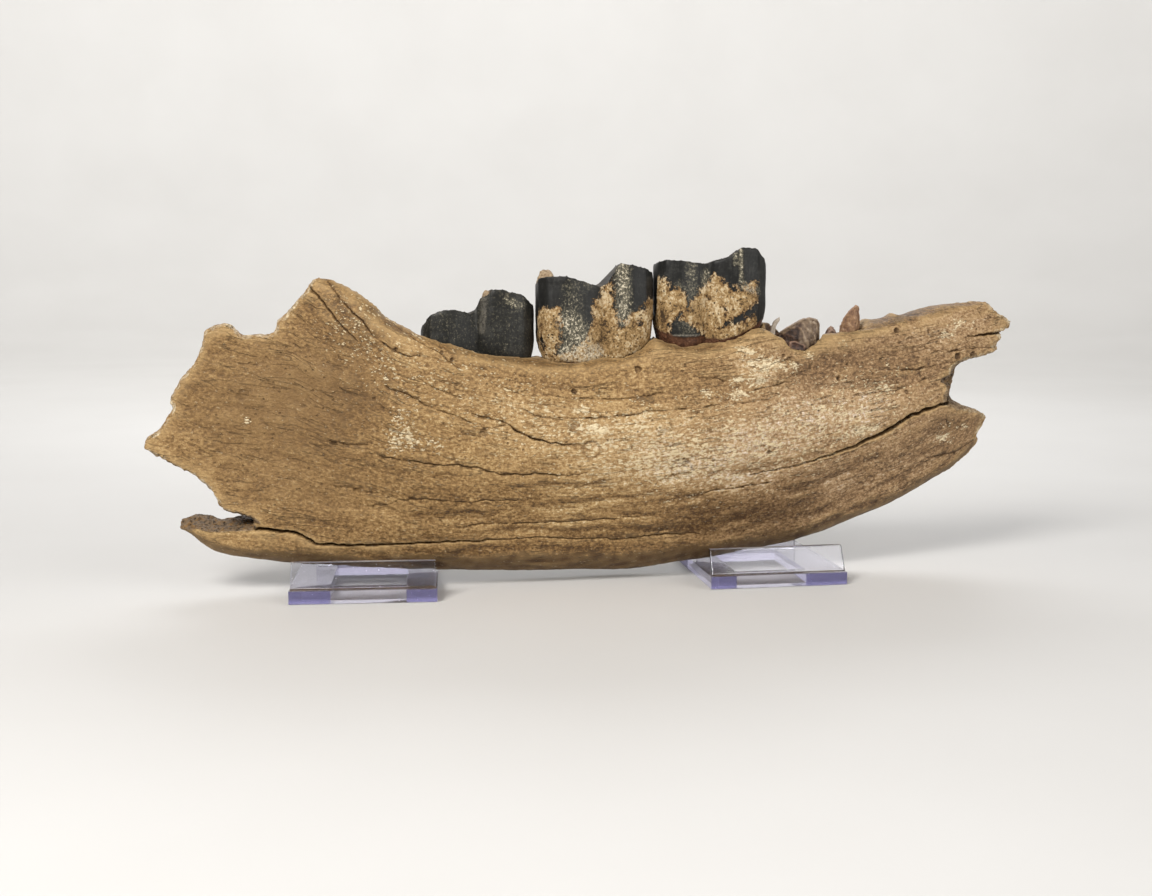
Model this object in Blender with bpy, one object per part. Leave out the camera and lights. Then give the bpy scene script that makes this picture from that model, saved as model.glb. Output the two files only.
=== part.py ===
"""Fossil lower jaw of a woolly rhinoceros, right half, standing on two clear plastic display stands.

Lengths below are in millimetres and become metres in each mesh. +X runs along the jaw to its front
end, -Y is the outer (cheek) side, +Z is up. The stands rest on z = 0, under the middle of the jaw.
"""
import math

import bmesh
import bpy
from mathutils import Matrix, Vector, noise

MM = 0.001
TOUCH_GAP = 0.3
SOCKET_GAP = 0.65

# Jaw bone. Each list gives (place along the jaw, value there), from the rear end to the front.
STATION_STEP = 6.0
REAR_END = -196.0
FRONT_END = 200.0
LOWER_EDGE = [
    (-200, 34), (-178, 26), (-171, 21.9), (-165, 16.8), (-158, 14.7), (-150, 13.3), (-132, 10.4),
    (-112, 8.4), (-87, 6.4), (-74, 5.7), (-44, 4.4), (-16, 3.3), (6, 2.8), (26, 3.8), (38, 5.2),
    (48, 6.1), (61, 8.2), (81, 11), (94, 13.2), (104, 16.3), (117, 20.8), (130, 25.2), (144, 30.7),
    (158, 37), (168, 42.2), (175, 48), (185, 59), (200, 76),
]
UPPER_EDGE = [
    (-200, 134), (-130, 133), (-119, 130.9), (-110, 128.4), (-100, 123.4), (-92, 117.2), (-86, 113.6),
    (-79, 110.4), (-73, 107.2), (-64, 105), (-54, 101.9), (-47, 100.6), (-37, 98.9), (-30, 97.4),
    (-22, 96.9), (-14, 96.4), (-8, 97.3), (3, 98.7), (12, 100.8), (18, 104.8), (23, 105), (28, 103),
    (39, 103.2), (50, 105.4), (57, 107.4), (64, 110.4), (72, 111), (78, 108.6), (83, 104.9),
    (87, 101.6), (93, 100.6), (102, 103.4), (107, 105.4), (116, 108.4), (122, 110.8), (128, 112),
    (135, 113.8), (140, 113.4), (145, 115.4), (150, 116.6), (159, 117.8), (176, 119.4), (200, 120),
]
BASE_CENTRE = [(-200, -6), (-74, -6), (0, -4.5), (60, -2), (110, 2), (150, 8), (200, 15)]
BASE_HALF = [(-200, 8), (-150, 10), (-110, 12), (-70, 14), (0, 15), (60, 14), (110, 12.5), (200, 10)]
BELLY_CENTRE = [(-200, -9), (-130, -12), (-100, -11), (-60, -8), (60, -8), (110, -2), (150, 5), (200, 14)]
BELLY_HALF = [
    (-200, 4.5), (-150, 5.5), (-125, 8.5), (-100, 15), (-75, 21.5), (-40, 24.5), (20, 25), (60, 23.5),
    (110, 20), (150, 18), (200, 15),
]
CREST_CENTRE = [
    (-200, -10), (-130, -14), (-112, -17), (-95, -17), (-80, -15), (-40, -10), (60, -9), (110, -3),
    (150, 4), (200, 13),
]
CREST_HALF = [
    (-200, 4.5), (-130, 6), (-112, 8), (-95, 14), (-80, 18), (-40, 18.5), (60, 18), (85, 16),
    (120, 13), (150, 12), (200, 10),
]
CREST_ROUND = [(-200, 4), (-130, 6), (-105, 12), (-70, 10), (-45, 7), (60, 6), (85, 7), (200, 7)]
ARC_STEPS = 4
FLANK_STEPS = 8
SWELL_HEIGHT = 0.6
SWELL_LENGTH = 24.0

# Broad hollows of the two flanks: (along, up, half length, half height, depth).
OUTER_HOLLOWS = [(-150, 70, 34, 30, 1.4), (-88, 96, 22, 9, 1.6), (30, 83, 34, 7, 1.3), (104, 86, 34, 9, 1.8)]
INNER_HOLLOWS = [(-140, 66, 34, 32, 2.2), (-20, 40, 80, 12, 2.4), (96, 56, 40, 18, 2.0)]

# Broken outlines, seen from the cheek side: (along, up). Each goes round the bone that is missing.
REAR_BREAK = [
    (-116, 150), (-118.2, 130.5), (-121.4, 129.3), (-123, 126), (-127.3, 121.3), (-130.8, 117.2),
    (-132.3, 114.6), (-135.8, 112.8), (-135.9, 109.4), (-137.3, 107.2), (-142.2, 107), (-144.7, 107.8),
    (-149, 106.6), (-151, 107.6), (-153.7, 111.2), (-156.8, 112.1), (-162.4, 110.1), (-165.2, 108.6),
    (-165.1, 104.4), (-166.7, 100.3), (-168.9, 95.8), (-172.1, 92.1), (-175.2, 88.9), (-177.4, 84.9),
    (-179.4, 81.5), (-177.9, 77.8), (-180.3, 74), (-182.4, 70.4), (-184.5, 68.1), (-189.4, 65.3),
    (-190.3, 61.7), (-187.5, 59.4), (-182.9, 57.3), (-177.4, 53.5), (-171.9, 50.8), (-168.9, 48.6),
    (-165.5, 45.3), (-163, 41.6), (-160.5, 38.4), (-161.6, 36.9), (-157.2, 34.5), (-152.5, 33.2),
    (-146.8, 31.1), (-143.5, 28.4), (-138.8, 26.4), (-134, 26.3), (-126, 23.9), (-134, 24.9),
    (-139, 25), (-146, 27.3), (-154, 28.2), (-162.5, 27.4), (-170, 28.6), (-176.3, 28.1),
    (-178.6, 25.8), (-178, 22), (-186, 12), (-186, -20), (-230, -20), (-230, 150),
]
FRONT_BREAK = [
    (230, 30), (186, 40), (179.6, 50.5), (178.3, 54.9), (176.3, 56.6), (177.1, 58.3), (179.2, 62.1),
    (181.3, 65.9), (178, 68.9), (173.5, 70.6), (167.2, 72.1), (162.6, 74.2), (162.1, 76.8),
    (163.8, 79.3), (163.2, 82.7), (164.5, 86), (164.8, 89.5), (168.3, 91.9), (175.3, 93.9),
    (182.4, 95.2), (186.1, 97.1), (183.4, 99.3), (187.7, 102.2), (184.6, 105), (190.9, 106.3),
    (191.3, 109.3), (187.9, 111.9), (183.4, 114.8), (179.7, 118.1), (176, 119.6), (172, 150), (230, 150),
]
# The inner front corner, where the two halves of the jaw once met, seen from above: (along, across).
CHIN_BREAK = [
    (124, 60), (127, 24), (133, 20), (138, 19), (143, 13.5), (150, 13), (156, 9.5), (163, 10),
    (169, 6), (176, 6.5), (184, 3), (190, 3.5), (230, 1), (230, 60),
]
CHIN_BREAK_UP = (-20, 150)
CUT_ACROSS = 70.0
# The front break runs at a slant: its outline above holds at one place across, and the outer wall
# is broken further back than the inner one.
SLANT_FROM = 3.6
SLANT = 0.55
# A flake gone from the outer wall at the notch, and the grey nerve canal behind it.
FLAKE = [(150.5, 84.4), (157, 86.8), (166, 90), (166, 82), (157, 81), (154, 82.6)]
FLAKE_ACROSS = (-40, -5)
CANAL = {"mouth": (172, 3.5, 80.6), "end": (138, 2.5, 77), "mouth_radius": 4.6, "end_radius": 3.0}
INNER_FORAMEN = {"mouth": (-112, 16, 66), "end": (-98, -8, 62), "mouth_radius": 5.2, "end_radius": 3.6}
HOLE_SIDES = 14

# Open cracks of the outer face: (along, up, width, depth), cut as a wedge from the surface inwards.
FRONT_CRACK = [
    (59, 46.8, 0.25, 3), (71.9, 48.4, 0.6, 5), (87.6, 50.9, 0.8, 6), (93.7, 52.9, 0.9, 7),
    (106.2, 56.1, 1.3, 8), (116, 60, 1.6, 9), (125.4, 63.1, 1.9, 10), (134.4, 68.4, 2.2, 10),
    (141.9, 70.8, 2.3, 10), (149.6, 73.1, 1.9, 10), (155.3, 74.8, 1.5, 10), (164.3, 77.6, 1.5, 10),
]
REAR_CRACK = [
    (-129, 24.4, 1.1, 8), (-124.8, 21.7, 1.0, 8), (-122.7, 20, 1.0, 8), (-118.5, 20, 0.9, 7),
    (-112.3, 19.4, 0.8, 6), (-101, 19.2, 0.6, 5), (-89.3, 19.4, 0.3, 3),
]
CRACK_OVERSHOOT = 30.0

# Small pits and dents of the outer face: (along, up, radius, depth).
PITS = [
    (-53.4, 67.5, 2.4, 0.9), (10.2, 92.8, 2.0, 0.8), (99.6, 87.1, 1.5, 0.8), (128, 107.1, 1.4, 1.1),
    (-16.5, 83.8, 1.5, 0.7), (67.6, 56.6, 1.4, 0.6), (-9, 60.4, 4.2, 0.5), (29.3, 50.3, 4.0, 0.5),
]
PIT_SIDES = 8
PIT_RINGS = 4

# The hollow on the inner side of the rising edge, where the gum of the last molar lay.
TROUGH = [
    # along, floor height, outer wall at the floor, outer wall at the top
    (-122, 134, -16, -18), (-110, 121, -18, -20), (-100, 112, -20.5, -23), (-90, 104.5, -22.5, -26),
    (-80, 100.5, -23.5, -27.5), (-66, 98.5, -23.5, -27.5), (-50, 97.5, -22.5, -27), (-36, 98.2, -20, -24),
    (-30, 99.5, -18, -20),
]
TROUGH_TOP = 150.0
TROUGH_INNER = 60.0
TROUGH_FILLET = (4.0, 1.0)
TROUGH_FALL = 2.0

# Sockets of the lost premolars: (centre along, across, half length, half width, floor).
EMPTY_SOCKETS = [(84.4, -9.5, 14, 9.5, 94.5), (101, -7.5, 5, 7, 97.5), (111.4, -5, 6.2, 7.5, 98)]
SOCKET_SIDES = 14
# (height above the floor, share of the full size)
SOCKET_SHAPE = [(0, 0.72), (2, 0.9), (35, 1.06)]
# The outer rim of the first socket is broken lower than the inner one: (along, up).
RIM_BREAK = [
    (63, 122), (64.9, 109.4), (69.8, 106.7), (76.1, 103.8), (79.5, 101.9), (86.3, 100.4), (91, 101),
    (93, 122),
]
RIM_BREAK_ACROSS = (-40, -9.5)

# Cheek teeth. A crown is a double crescent: (share along its half, share across), cheek side first.
REAR_LOBE_OUTER = [(0, -0.1), (0.04, -0.55), (0.18, -0.88), (0.45, -1), (0.75, -0.9), (0.93, -0.7)]
GROOVE_ACROSS = -0.56
FRONT_LOBE_OUTER = [(0.07, -0.74), (0.28, -0.96), (0.55, -1), (0.82, -0.86), (0.97, -0.52), (1, -0.1)]
# The tongue side also tells which points lie in a valley between two cusps.
FRONT_LOBE_INNER = [
    (0.98, 0.45, False), (0.86, 0.84, False), (0.72, 0.76, False), (0.62, 0.3, True), (0.5, 0.08, True),
    (0.38, 0.28, True), (0.28, 0.8, False), (0.1, 1, False),
]
REAR_LOBE_INNER = [
    (0.92, 0.94, False), (0.84, 0.6, True), (0.75, 0.15, True), (0.62, -0.04, True), (0.5, 0.12, True),
    (0.42, 0.6, True), (0.3, 0.93, False), (0.1, 0.84, False), (0, 0.4, False),
]
ROOT_FILL = 0.9
CROWN_LEVELS = [0.0, 0.2, 0.34, 0.46, 0.6, 0.75, 0.9, 1.0]
CROWN_WIDTHS = [(0, 0.68), (0.2, 0.84), (0.34, 0.93), (0.5, 1), (0.7, 0.99), (0.9, 0.93), (1, 0.9)]
VALLEY_OPENING = [(0, 0), (0.34, 0), (0.6, 0.8), (0.75, 1), (1, 1)]
ENAMEL_RIM = 1.3
BASIN_DEPTH = 1.6
# The tongue side stands a little further forward and is worn a little lower than the cheek side.
PLAN_SKEW = 3.0
TONGUE_DROP = 1.0
TAPER_TOP = 0.6
TEETH = {
    "third_molar": {
        "rear": -78.6, "front": -31.0, "rear_taper": 8, "front_taper": 6, "groove": 0.49,
        "centre": -7.5, "half_width": 12.5, "root": 84,
        "top": [
            (-79, 110), (-76.7, 112.9), (-74, 116.2), (-68.3, 117.9), (-61.3, 117.4), (-56.5, 116.4),
            (-54.6, 121), (-52.5, 125.8), (-49.5, 127.4), (-46.5, 125.5), (-40.4, 125.4), (-35.8, 123.9),
            (-32.5, 121.4), (-30.5, 118),
        ],
    },
    "second_molar": {
        "rear": -30.4, "front": 19.9, "rear_taper": 10, "front_taper": 10, "groove": 0.58,
        "centre": -8.5, "half_width": 14, "root": 83,
        "top": [
            (-31, 127.5), (-28.5, 131.4), (-22.8, 131.2), (-16.5, 131.4), (-13.2, 130.2), (-5.6, 128.1),
            (-2.4, 127.2), (0.5, 130.6), (4.4, 136.6), (11.6, 136), (17, 134.6), (20.5, 132.5),
        ],
    },
    "first_molar": {
        "rear": 20.5, "front": 69.6, "rear_taper": 8, "front_taper": 22, "groove": 0.47,
        "centre": -8.5, "half_width": 13.5, "root": 86,
        "top": [
            (20, 136.8), (23.6, 138.3), (34.3, 137.6), (43.4, 137), (47.7, 138.5), (53.3, 140.1),
            (56.3, 142.6), (60.9, 143.8), (65.5, 142.6), (68.2, 139.8), (70, 136),
        ],
    },
}

# Root shells left in the empty sockets: columns of (along, foot, tip, across).
SHELLS = {
    "root_shell_rear": {
        "thickness": 1.6,
        "columns": [
            (78.5, 99, 106.3, -6.5), (80.6, 97.6, 108.2, -9), (82.7, 96.4, 109.9, -11),
            (86.8, 95.8, 112.3, -12.6), (90.1, 95.8, 112.9, -12.8), (94.3, 97, 111.8, -11),
            (96, 99, 110, -8.6),
        ],
    },
    "root_stub": {
        "thickness": 3.4,
        "columns": [
            (98.8, 99, 105.8, -8.4), (99.9, 98.4, 108, -8.5), (101.2, 98.2, 108.9, -8.6),
            (102.6, 98.4, 108.2, -8.5), (103.8, 99, 106, -8.4),
        ],
    },
    "root_shell_front": {
        "thickness": 1.7,
        "columns": [
            (106.6, 101.5, 107.6, -3.5), (107.4, 100, 111.4, -6), (109.2, 99.4, 115.2, -8),
            (112.3, 99.2, 118.1, -8.7), (114.1, 99.8, 117.2, -7.6), (115.2, 101.2, 112.6, -6),
        ],
    },
    "root_sliver": {
        "thickness": 1.3,
        "columns": [
            (73.6, 99, 106, -8), (74.3, 98, 109, -8), (75.2, 98.6, 110.9, -8),
            (76.6, 108.6, 112, -7.8), (78.4, 111, 112.9, -7.5),
        ],
    },
    "root_splinter": {
        "thickness": 1.6,
        "columns": [
            (80.4, 99.2, 102.4, -14.4), (82.6, 98.6, 102.9, -15.2), (85.4, 98, 101.9, -15.4),
            (87.6, 98, 100.9, -15),
        ],
    },
}

# Display stands: a slab with a window, a clear lip in front and a back rest behind.
STAND = {
    "width": 59.6, "depth": 76.0, "thickness": 5.2, "front_bar": 8.8, "rear_bar": 24.0,
    "outer_arm": 16.2, "inner_arm": 12.6, "edge": 0.4,
    "lip_width": 58.2, "lip_thickness": 2.2, "lip_height": 10.4, "lip_lean": 28.0, "lip_inset": 0.4,
    "rest_thickness": 2.4, "rest_lean": 3.0,
}
# The back rest seen from the front: (sideways, up).
REST_OUTLINE = [(-23, 0), (23, 0), (23, 31), (18, 48), (9, 62), (-9, 62), (-18, 48), (-23, 31)]
SHARP_ANGLE = 1.0
# Each stand: middle of its front edge (along, across), turn in degrees, which side its wide arm is on,
# and how far its back rest stands behind the front edge.
STANDS = {
    "rear_stand": {"front_middle": (-103.6, -38.2), "turn": -4.5, "wide_side": -1, "rest_back": 47.9},
    "front_stand": {"front_middle": (71.0, -37.6), "turn": 0.0, "wide_side": 1, "rest_back": 50.45},
}


def smooth(points, x):
    """The value at x of a curve through the points, with no corner at them."""
    if x <= points[0][0]:
        return points[0][1]
    if x >= points[-1][0]:
        return points[-1][1]
    slopes = [(b[1] - a[1]) / (b[0] - a[0]) for a, b in zip(points, points[1:])]
    tangents = [slopes[0]] + [(a + b) / 2 for a, b in zip(slopes, slopes[1:])] + [slopes[-1]]
    for i, (a, b) in enumerate(zip(points, points[1:])):
        if x <= b[0]:
            span = b[0] - a[0]
            t = (x - a[0]) / span
            return (
                a[1] * (1 + 2 * t) * (1 - t) ** 2
                + b[1] * t * t * (3 - 2 * t)
                + tangents[i] * span * t * (1 - t) ** 2
                - tangents[i + 1] * span * t * t * (1 - t)
            )
    return points[-1][1]


def clear_scene():
    for obj in list(bpy.data.objects):
        bpy.data.objects.remove(obj, do_unlink=True)


def plain_material(name, colour, roughness, transmission=0.0):
    material = bpy.data.materials.new(name)
    material.use_nodes = True
    shader = material.node_tree.nodes["Principled BSDF"]
    shader.inputs["Base Color"].default_value = (*colour, 1)
    shader.inputs["Roughness"].default_value = roughness
    shader.inputs["Metallic"].default_value = 0.0
    shader.inputs["Transmission Weight"].default_value = transmission
    material.diffuse_color = (*colour, 1)
    return material


def bone_material():
    return plain_material("fossil_bone", (0.31, 0.19, 0.085), 0.72)


def tooth_material():
    return plain_material("fossil_tooth", (0.035, 0.038, 0.042), 0.32)


def root_material():
    return plain_material("fossil_root", (0.21, 0.10, 0.05), 0.6)


def clear_material():
    return plain_material("clear_plastic", (0.86, 0.85, 0.93), 0.06, 1.0)


def add_object(name, mesh, material=None):
    """The bmesh, in millimetres, as an object in metres with its faces pointing out."""
    bmesh.ops.recalc_face_normals(mesh, faces=mesh.faces)
    bmesh.ops.scale(mesh, vec=Vector((MM, MM, MM)), verts=mesh.verts)
    data = bpy.data.meshes.new(name)
    mesh.to_mesh(data)
    mesh.free()
    obj = bpy.data.objects.new(name, data)
    bpy.context.scene.collection.objects.link(obj)
    if material:
        data.materials.append(material)
        data.shade_smooth()
    return obj


def cut(target, cutter, solver="EXACT"):
    """Takes the cutter's shape out of the target."""
    cutter.hide_render = True
    cutter.display_type = "WIRE"
    modifier = target.modifiers.new(cutter.name, "BOOLEAN")
    modifier.operation = "DIFFERENCE"
    modifier.solver = solver
    modifier.object = cutter


def loft(rings):
    """A closed body through rings that have the same number of points."""
    mesh = bmesh.new()
    rows = [[mesh.verts.new(point) for point in ring] for ring in rings]
    count = len(rings[0])
    for low, high in zip(rows, rows[1:]):
        for i in range(count):
            j = (i + 1) % count
            mesh.faces.new((low[i], low[j], high[j]))
            mesh.faces.new((low[i], high[j], high[i]))
    caps = [mesh.faces.new(rows[0]), mesh.faces.new(rows[-1])]
    mesh.normal_update()
    return mesh, caps


def prism(name, outline, depths, place):
    """The outline carried through the depths; place makes a point of (outline point, depth)."""
    mesh, caps = loft([[place(a, b, depth) for a, b in outline] for depth in depths])
    bmesh.ops.triangulate(mesh, faces=caps)
    return add_object(name, mesh)


def side_prism(name, outline, start, end):
    return prism(name, outline, (start, end), lambda along, up, across: (along, across, up))


def slanted_prism(name, outline):
    def place(along, up, across):
        return along + SLANT * (across - SLANT_FROM), across, up

    return prism(name, outline, (-CUT_ACROSS, CUT_ACROSS), place)


def hollow_depth(hollows, along, up):
    """How deep the broad hollows are at one place of a flank."""
    depth = 0.0
    for centre, height, half_length, half_height, deepest in hollows:
        reach = ((along - centre) / half_length) ** 2 + ((up - height) / half_height) ** 2
        depth += deepest * math.exp(-reach)
    return depth


def flank(along, share):
    """Middle and half thickness of the bone at a share of its flank's height."""
    middles = [(0, BASE_CENTRE), (0.5, BELLY_CENTRE), (1, CREST_CENTRE)]
    halves = [(0, BASE_HALF), (0.5, BELLY_HALF), (1, CREST_HALF)]
    return tuple(
        smooth([(height, smooth(curve, along)) for height, curve in curves], share)
        for curves in (middles, halves)
    )


def jaw_ring(along):
    """One cross-section of the jaw: a round lower border, swelling flanks and a rounded crest."""
    low, high = smooth(LOWER_EDGE, along), smooth(UPPER_EDGE, along)
    base_middle, base = flank(along, 0)
    crest_middle, crest = flank(along, 1)
    crown = smooth(CREST_ROUND, along)
    flank_low, flank_high = low + base, high - crown
    turns = [0.5 * math.pi * i / ARC_STEPS for i in range(1, ARC_STEPS + 1)]
    levels = [(low + base * (1 - math.cos(turn)), base_middle, base * math.sin(turn)) for turn in turns]
    for i in range(1, FLANK_STEPS):
        share = i / FLANK_STEPS
        levels.append((flank_low + share * (flank_high - flank_low), *flank(along, share)))
    for turn in reversed(turns):
        levels.append((high - crown * (1 - math.cos(turn)), crest_middle, crest * math.sin(turn)))
    outer = [
        (along, middle - half + hollow_depth(OUTER_HOLLOWS, along, up), up) for up, middle, half in levels
    ]
    inner = [
        (along, middle + half - hollow_depth(INNER_HOLLOWS, along, up), up) for up, middle, half in levels
    ]
    return [(along, base_middle, low)] + outer + [(along, crest_middle, high)] + inner[::-1]


def outer_surface(along, up):
    """Where the outer face lies across the jaw at one place."""
    low, high = smooth(LOWER_EDGE, along), smooth(UPPER_EDGE, along)
    base, crown = smooth(BASE_HALF, along), smooth(CREST_ROUND, along)
    share = (up - low - base) / (high - low - base - crown)
    middle, half = flank(along, min(max(share, 0.0), 1.0))
    return middle - half + hollow_depth(OUTER_HOLLOWS, along, up)


def swell(mesh):
    """Slow, uneven swelling of the whole surface, as grown bone has."""
    mesh.normal_update()
    for vert in mesh.verts:
        lift = SWELL_HEIGHT * noise.noise(vert.co / SWELL_LENGTH)
        vert.co += lift * vert.normal


def wedge(name, path):
    """A crack: open at the outer face, closing to an edge inside."""
    rings = []
    for along, up, width, depth in path:
        across = outer_surface(along, up)
        half = 0.5 * width * (1 + CRACK_OVERSHOOT / depth)
        outside = across - CRACK_OVERSHOOT
        rings.append([(along, outside, up - half), (along, outside, up + half), (along, across + depth, up)])
    mesh, _ = loft(rings)
    return add_object(name, mesh)


def pit(name, along, up, radius, depth):
    """A shallow round dent in the outer face."""
    mesh = bmesh.new()
    bmesh.ops.create_uvsphere(mesh, u_segments=PIT_SIDES, v_segments=PIT_RINGS, radius=radius)
    bmesh.ops.rotate(mesh, matrix=Matrix.Rotation(math.radians(90), 3, "X"), verts=mesh.verts)
    bmesh.ops.scale(mesh, vec=(1, 2 * depth / radius, 1), verts=mesh.verts)
    bmesh.ops.translate(mesh, vec=(along, outer_surface(along, up) - depth, up), verts=mesh.verts)
    return add_object(name, mesh)


def round_hole(name, hole):
    """A tapering round passage into the bone."""
    mesh = bmesh.new()
    mouth, end = Vector(hole["mouth"]), Vector(hole["end"])
    bmesh.ops.create_cone(
        mesh,
        cap_ends=True,
        segments=HOLE_SIDES,
        radius1=hole["mouth_radius"],
        radius2=hole["end_radius"],
        depth=(end - mouth).length,
    )
    turn = (end - mouth).to_track_quat("Z", "Y").to_matrix().to_4x4()
    bmesh.ops.transform(mesh, matrix=Matrix.Translation((mouth + end) / 2) @ turn, verts=mesh.verts)
    return add_object(name, mesh)


def trough():
    """The hollow beside the rising front edge of the upright part."""
    in_from_wall, lower = TROUGH_FILLET
    rings = []
    for along, floor, wall_low, wall_high in TROUGH:
        rings.append(
            [
                (along, wall_low, floor),
                (along, wall_high, TROUGH_TOP),
                (along, TROUGH_INNER, TROUGH_TOP),
                (along, TROUGH_INNER, floor - TROUGH_FALL),
                (along, wall_low + in_from_wall, floor - lower),
            ]
        )
    mesh, _ = loft(rings)
    return add_object("trough_cutter", mesh)


def empty_socket(name, along, across, half_length, half_width, floor):
    """One broken premolar socket, narrower at its floor."""
    turns = [2 * math.pi * i / SOCKET_SIDES for i in range(SOCKET_SIDES)]
    rings = [
        [
            (
                along + half_length * share * math.cos(turn),
                across + half_width * share * math.sin(turn),
                floor + rise,
            )
            for turn in turns
        ]
        for rise, share in SOCKET_SHAPE
    ]
    mesh, _ = loft(rings)
    return add_object(name, mesh)


def crown_plan(groove):
    """The double crescent as (share along the whole tooth, share across, in a valley or not)."""
    front = 1 - groove
    plan = [(u * groove, w, False) for u, w in REAR_LOBE_OUTER]
    plan.append((groove, GROOVE_ACROSS, False))
    plan += [(groove + u * front, w, False) for u, w in FRONT_LOBE_OUTER]
    plan += [(groove + u * front, w, valley) for u, w, valley in FRONT_LOBE_INNER]
    plan += [(u * groove, w, valley) for u, w, valley in REAR_LOBE_INNER]
    return plan


def crown_ring(tooth, share, filled=False):
    """One ring of a tooth at a share of its height, with its valleys filled if asked."""
    taper = max(0.0, 1 - share / TAPER_TOP) ** 2
    rear = tooth["rear"] + tooth["rear_taper"] * taper
    front = tooth["front"] - tooth["front_taper"] * taper
    width = tooth["half_width"] * smooth(CROWN_WIDTHS, share)
    opening = 0.0 if filled else max(0.0, smooth(VALLEY_OPENING, share))
    ring = []
    for u, w, valley in crown_plan(tooth["groove"]):
        if valley:
            w = ROOT_FILL + (w - ROOT_FILL) * opening
        along = rear + u * (front - rear)
        inwards = (w + 1) / 2
        top = smooth(tooth["top"], along) - TONGUE_DROP * inwards
        up = tooth["root"] + share * (top - tooth["root"])
        ring.append((along + PLAN_SKEW * inwards, tooth["centre"] + w * width, up))
    return ring


def widened(ring, distance):
    """The ring with every point pushed out sideways, away from its two neighbours' line."""
    wide = []
    for i, (x, y, z) in enumerate(ring):
        before, after = ring[i - 1], ring[(i + 1) % len(ring)]
        along, across = after[0] - before[0], after[1] - before[1]
        length = math.hypot(along, across)
        wide.append((x + distance * across / length, y - distance * along / length, z))
    return wide


def make_tooth(name, tooth, material):
    """A worn cheek tooth: rings from the root to the chewing edge, with sunk dentine inside its rim."""
    rings = [crown_ring(tooth, share) for share in CROWN_LEVELS]
    rings.append([(x, y, z - BASIN_DEPTH) for x, y, z in widened(rings[-1], -ENAMEL_RIM)])
    mesh, caps = loft(rings)
    bmesh.ops.triangulate(mesh, faces=caps)
    return add_object(name, mesh, material)


def socket_of(name, tooth):
    """The room that a tooth takes up in the jaw, with a hair's gap round it."""
    rings = [widened(crown_ring(tooth, share, filled=True), SOCKET_GAP) for share in CROWN_LEVELS]
    rings[0] = [(x, y, z - SOCKET_GAP) for x, y, z in rings[0]]
    mesh, caps = loft(rings)
    bmesh.ops.triangulate(mesh, faces=caps)
    return add_object(name + "_socket_cutter", mesh)


def make_shell(name, shell, material):
    """A thin curved piece of broken root, standing in its socket."""
    half = shell["thickness"] / 2
    rings = []
    for along, foot, tip, across in shell["columns"]:
        rings.append(
            [
                (along, across - half, foot),
                (along, across - half, tip - half),
                (along, across, tip),
                (along, across + half, tip - half),
                (along, across + half, foot),
            ]
        )
    mesh, _ = loft(rings)
    return add_object(name, mesh, material)


def jaw_body(material):
    """The bone as it grew, before anything broke off."""
    stations = int((FRONT_END - REAR_END) / STATION_STEP)
    mesh, _ = loft([jaw_ring(REAR_END + i * STATION_STEP) for i in range(stations + 1)])
    bmesh.ops.recalc_face_normals(mesh, faces=mesh.faces)
    swell(mesh)
    return add_object("jaw_bone", mesh, material)


def make_jaw(material):
    jaw = jaw_body(material)
    cut(jaw, prism("chin_break_cutter", CHIN_BREAK, CHIN_BREAK_UP, lambda x, y, z: (x, y, z)))
    cut(jaw, slanted_prism("front_break_cutter", FRONT_BREAK))
    cut(jaw, side_prism("rear_break_cutter", REAR_BREAK, -CUT_ACROSS, CUT_ACROSS))
    cut(jaw, trough(), solver="MANIFOLD")
    for name, tooth in TEETH.items():
        cut(jaw, socket_of(name, tooth))
    for i, socket in enumerate(EMPTY_SOCKETS):
        cut(jaw, empty_socket(f"empty_socket_cutter_{i + 1}", *socket))
    cut(jaw, side_prism("rim_break_cutter", RIM_BREAK, *RIM_BREAK_ACROSS))
    cut(jaw, wedge("front_crack_cutter", FRONT_CRACK))
    cut(jaw, wedge("rear_crack_cutter", REAR_CRACK))
    cut(jaw, round_hole("canal_cutter", CANAL))
    cut(jaw, round_hole("inner_foramen_cutter", INNER_FORAMEN))
    cut(jaw, side_prism("flake_cutter", FLAKE, *FLAKE_ACROSS))
    for i, dent in enumerate(PITS):
        cut(jaw, pit(f"pit_cutter_{i + 1}", *dent))


def box_mesh(low, high):
    mesh = bmesh.new()
    bmesh.ops.create_cube(mesh, size=1)
    size = [b - a for a, b in zip(low, high)]
    middle = [(a + b) / 2 for a, b in zip(low, high)]
    bmesh.ops.scale(mesh, vec=size, verts=mesh.verts)
    bmesh.ops.translate(mesh, vec=middle, verts=mesh.verts)
    return mesh


def set_down(mesh, stand):
    """Turns and moves a stand's piece to where that stand is."""
    turn = Matrix.Rotation(math.radians(stand["turn"]), 4, "Z")
    place = Matrix.Translation((*stand["front_middle"], 0))
    bmesh.ops.transform(mesh, matrix=place @ turn, verts=mesh.verts)


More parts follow.
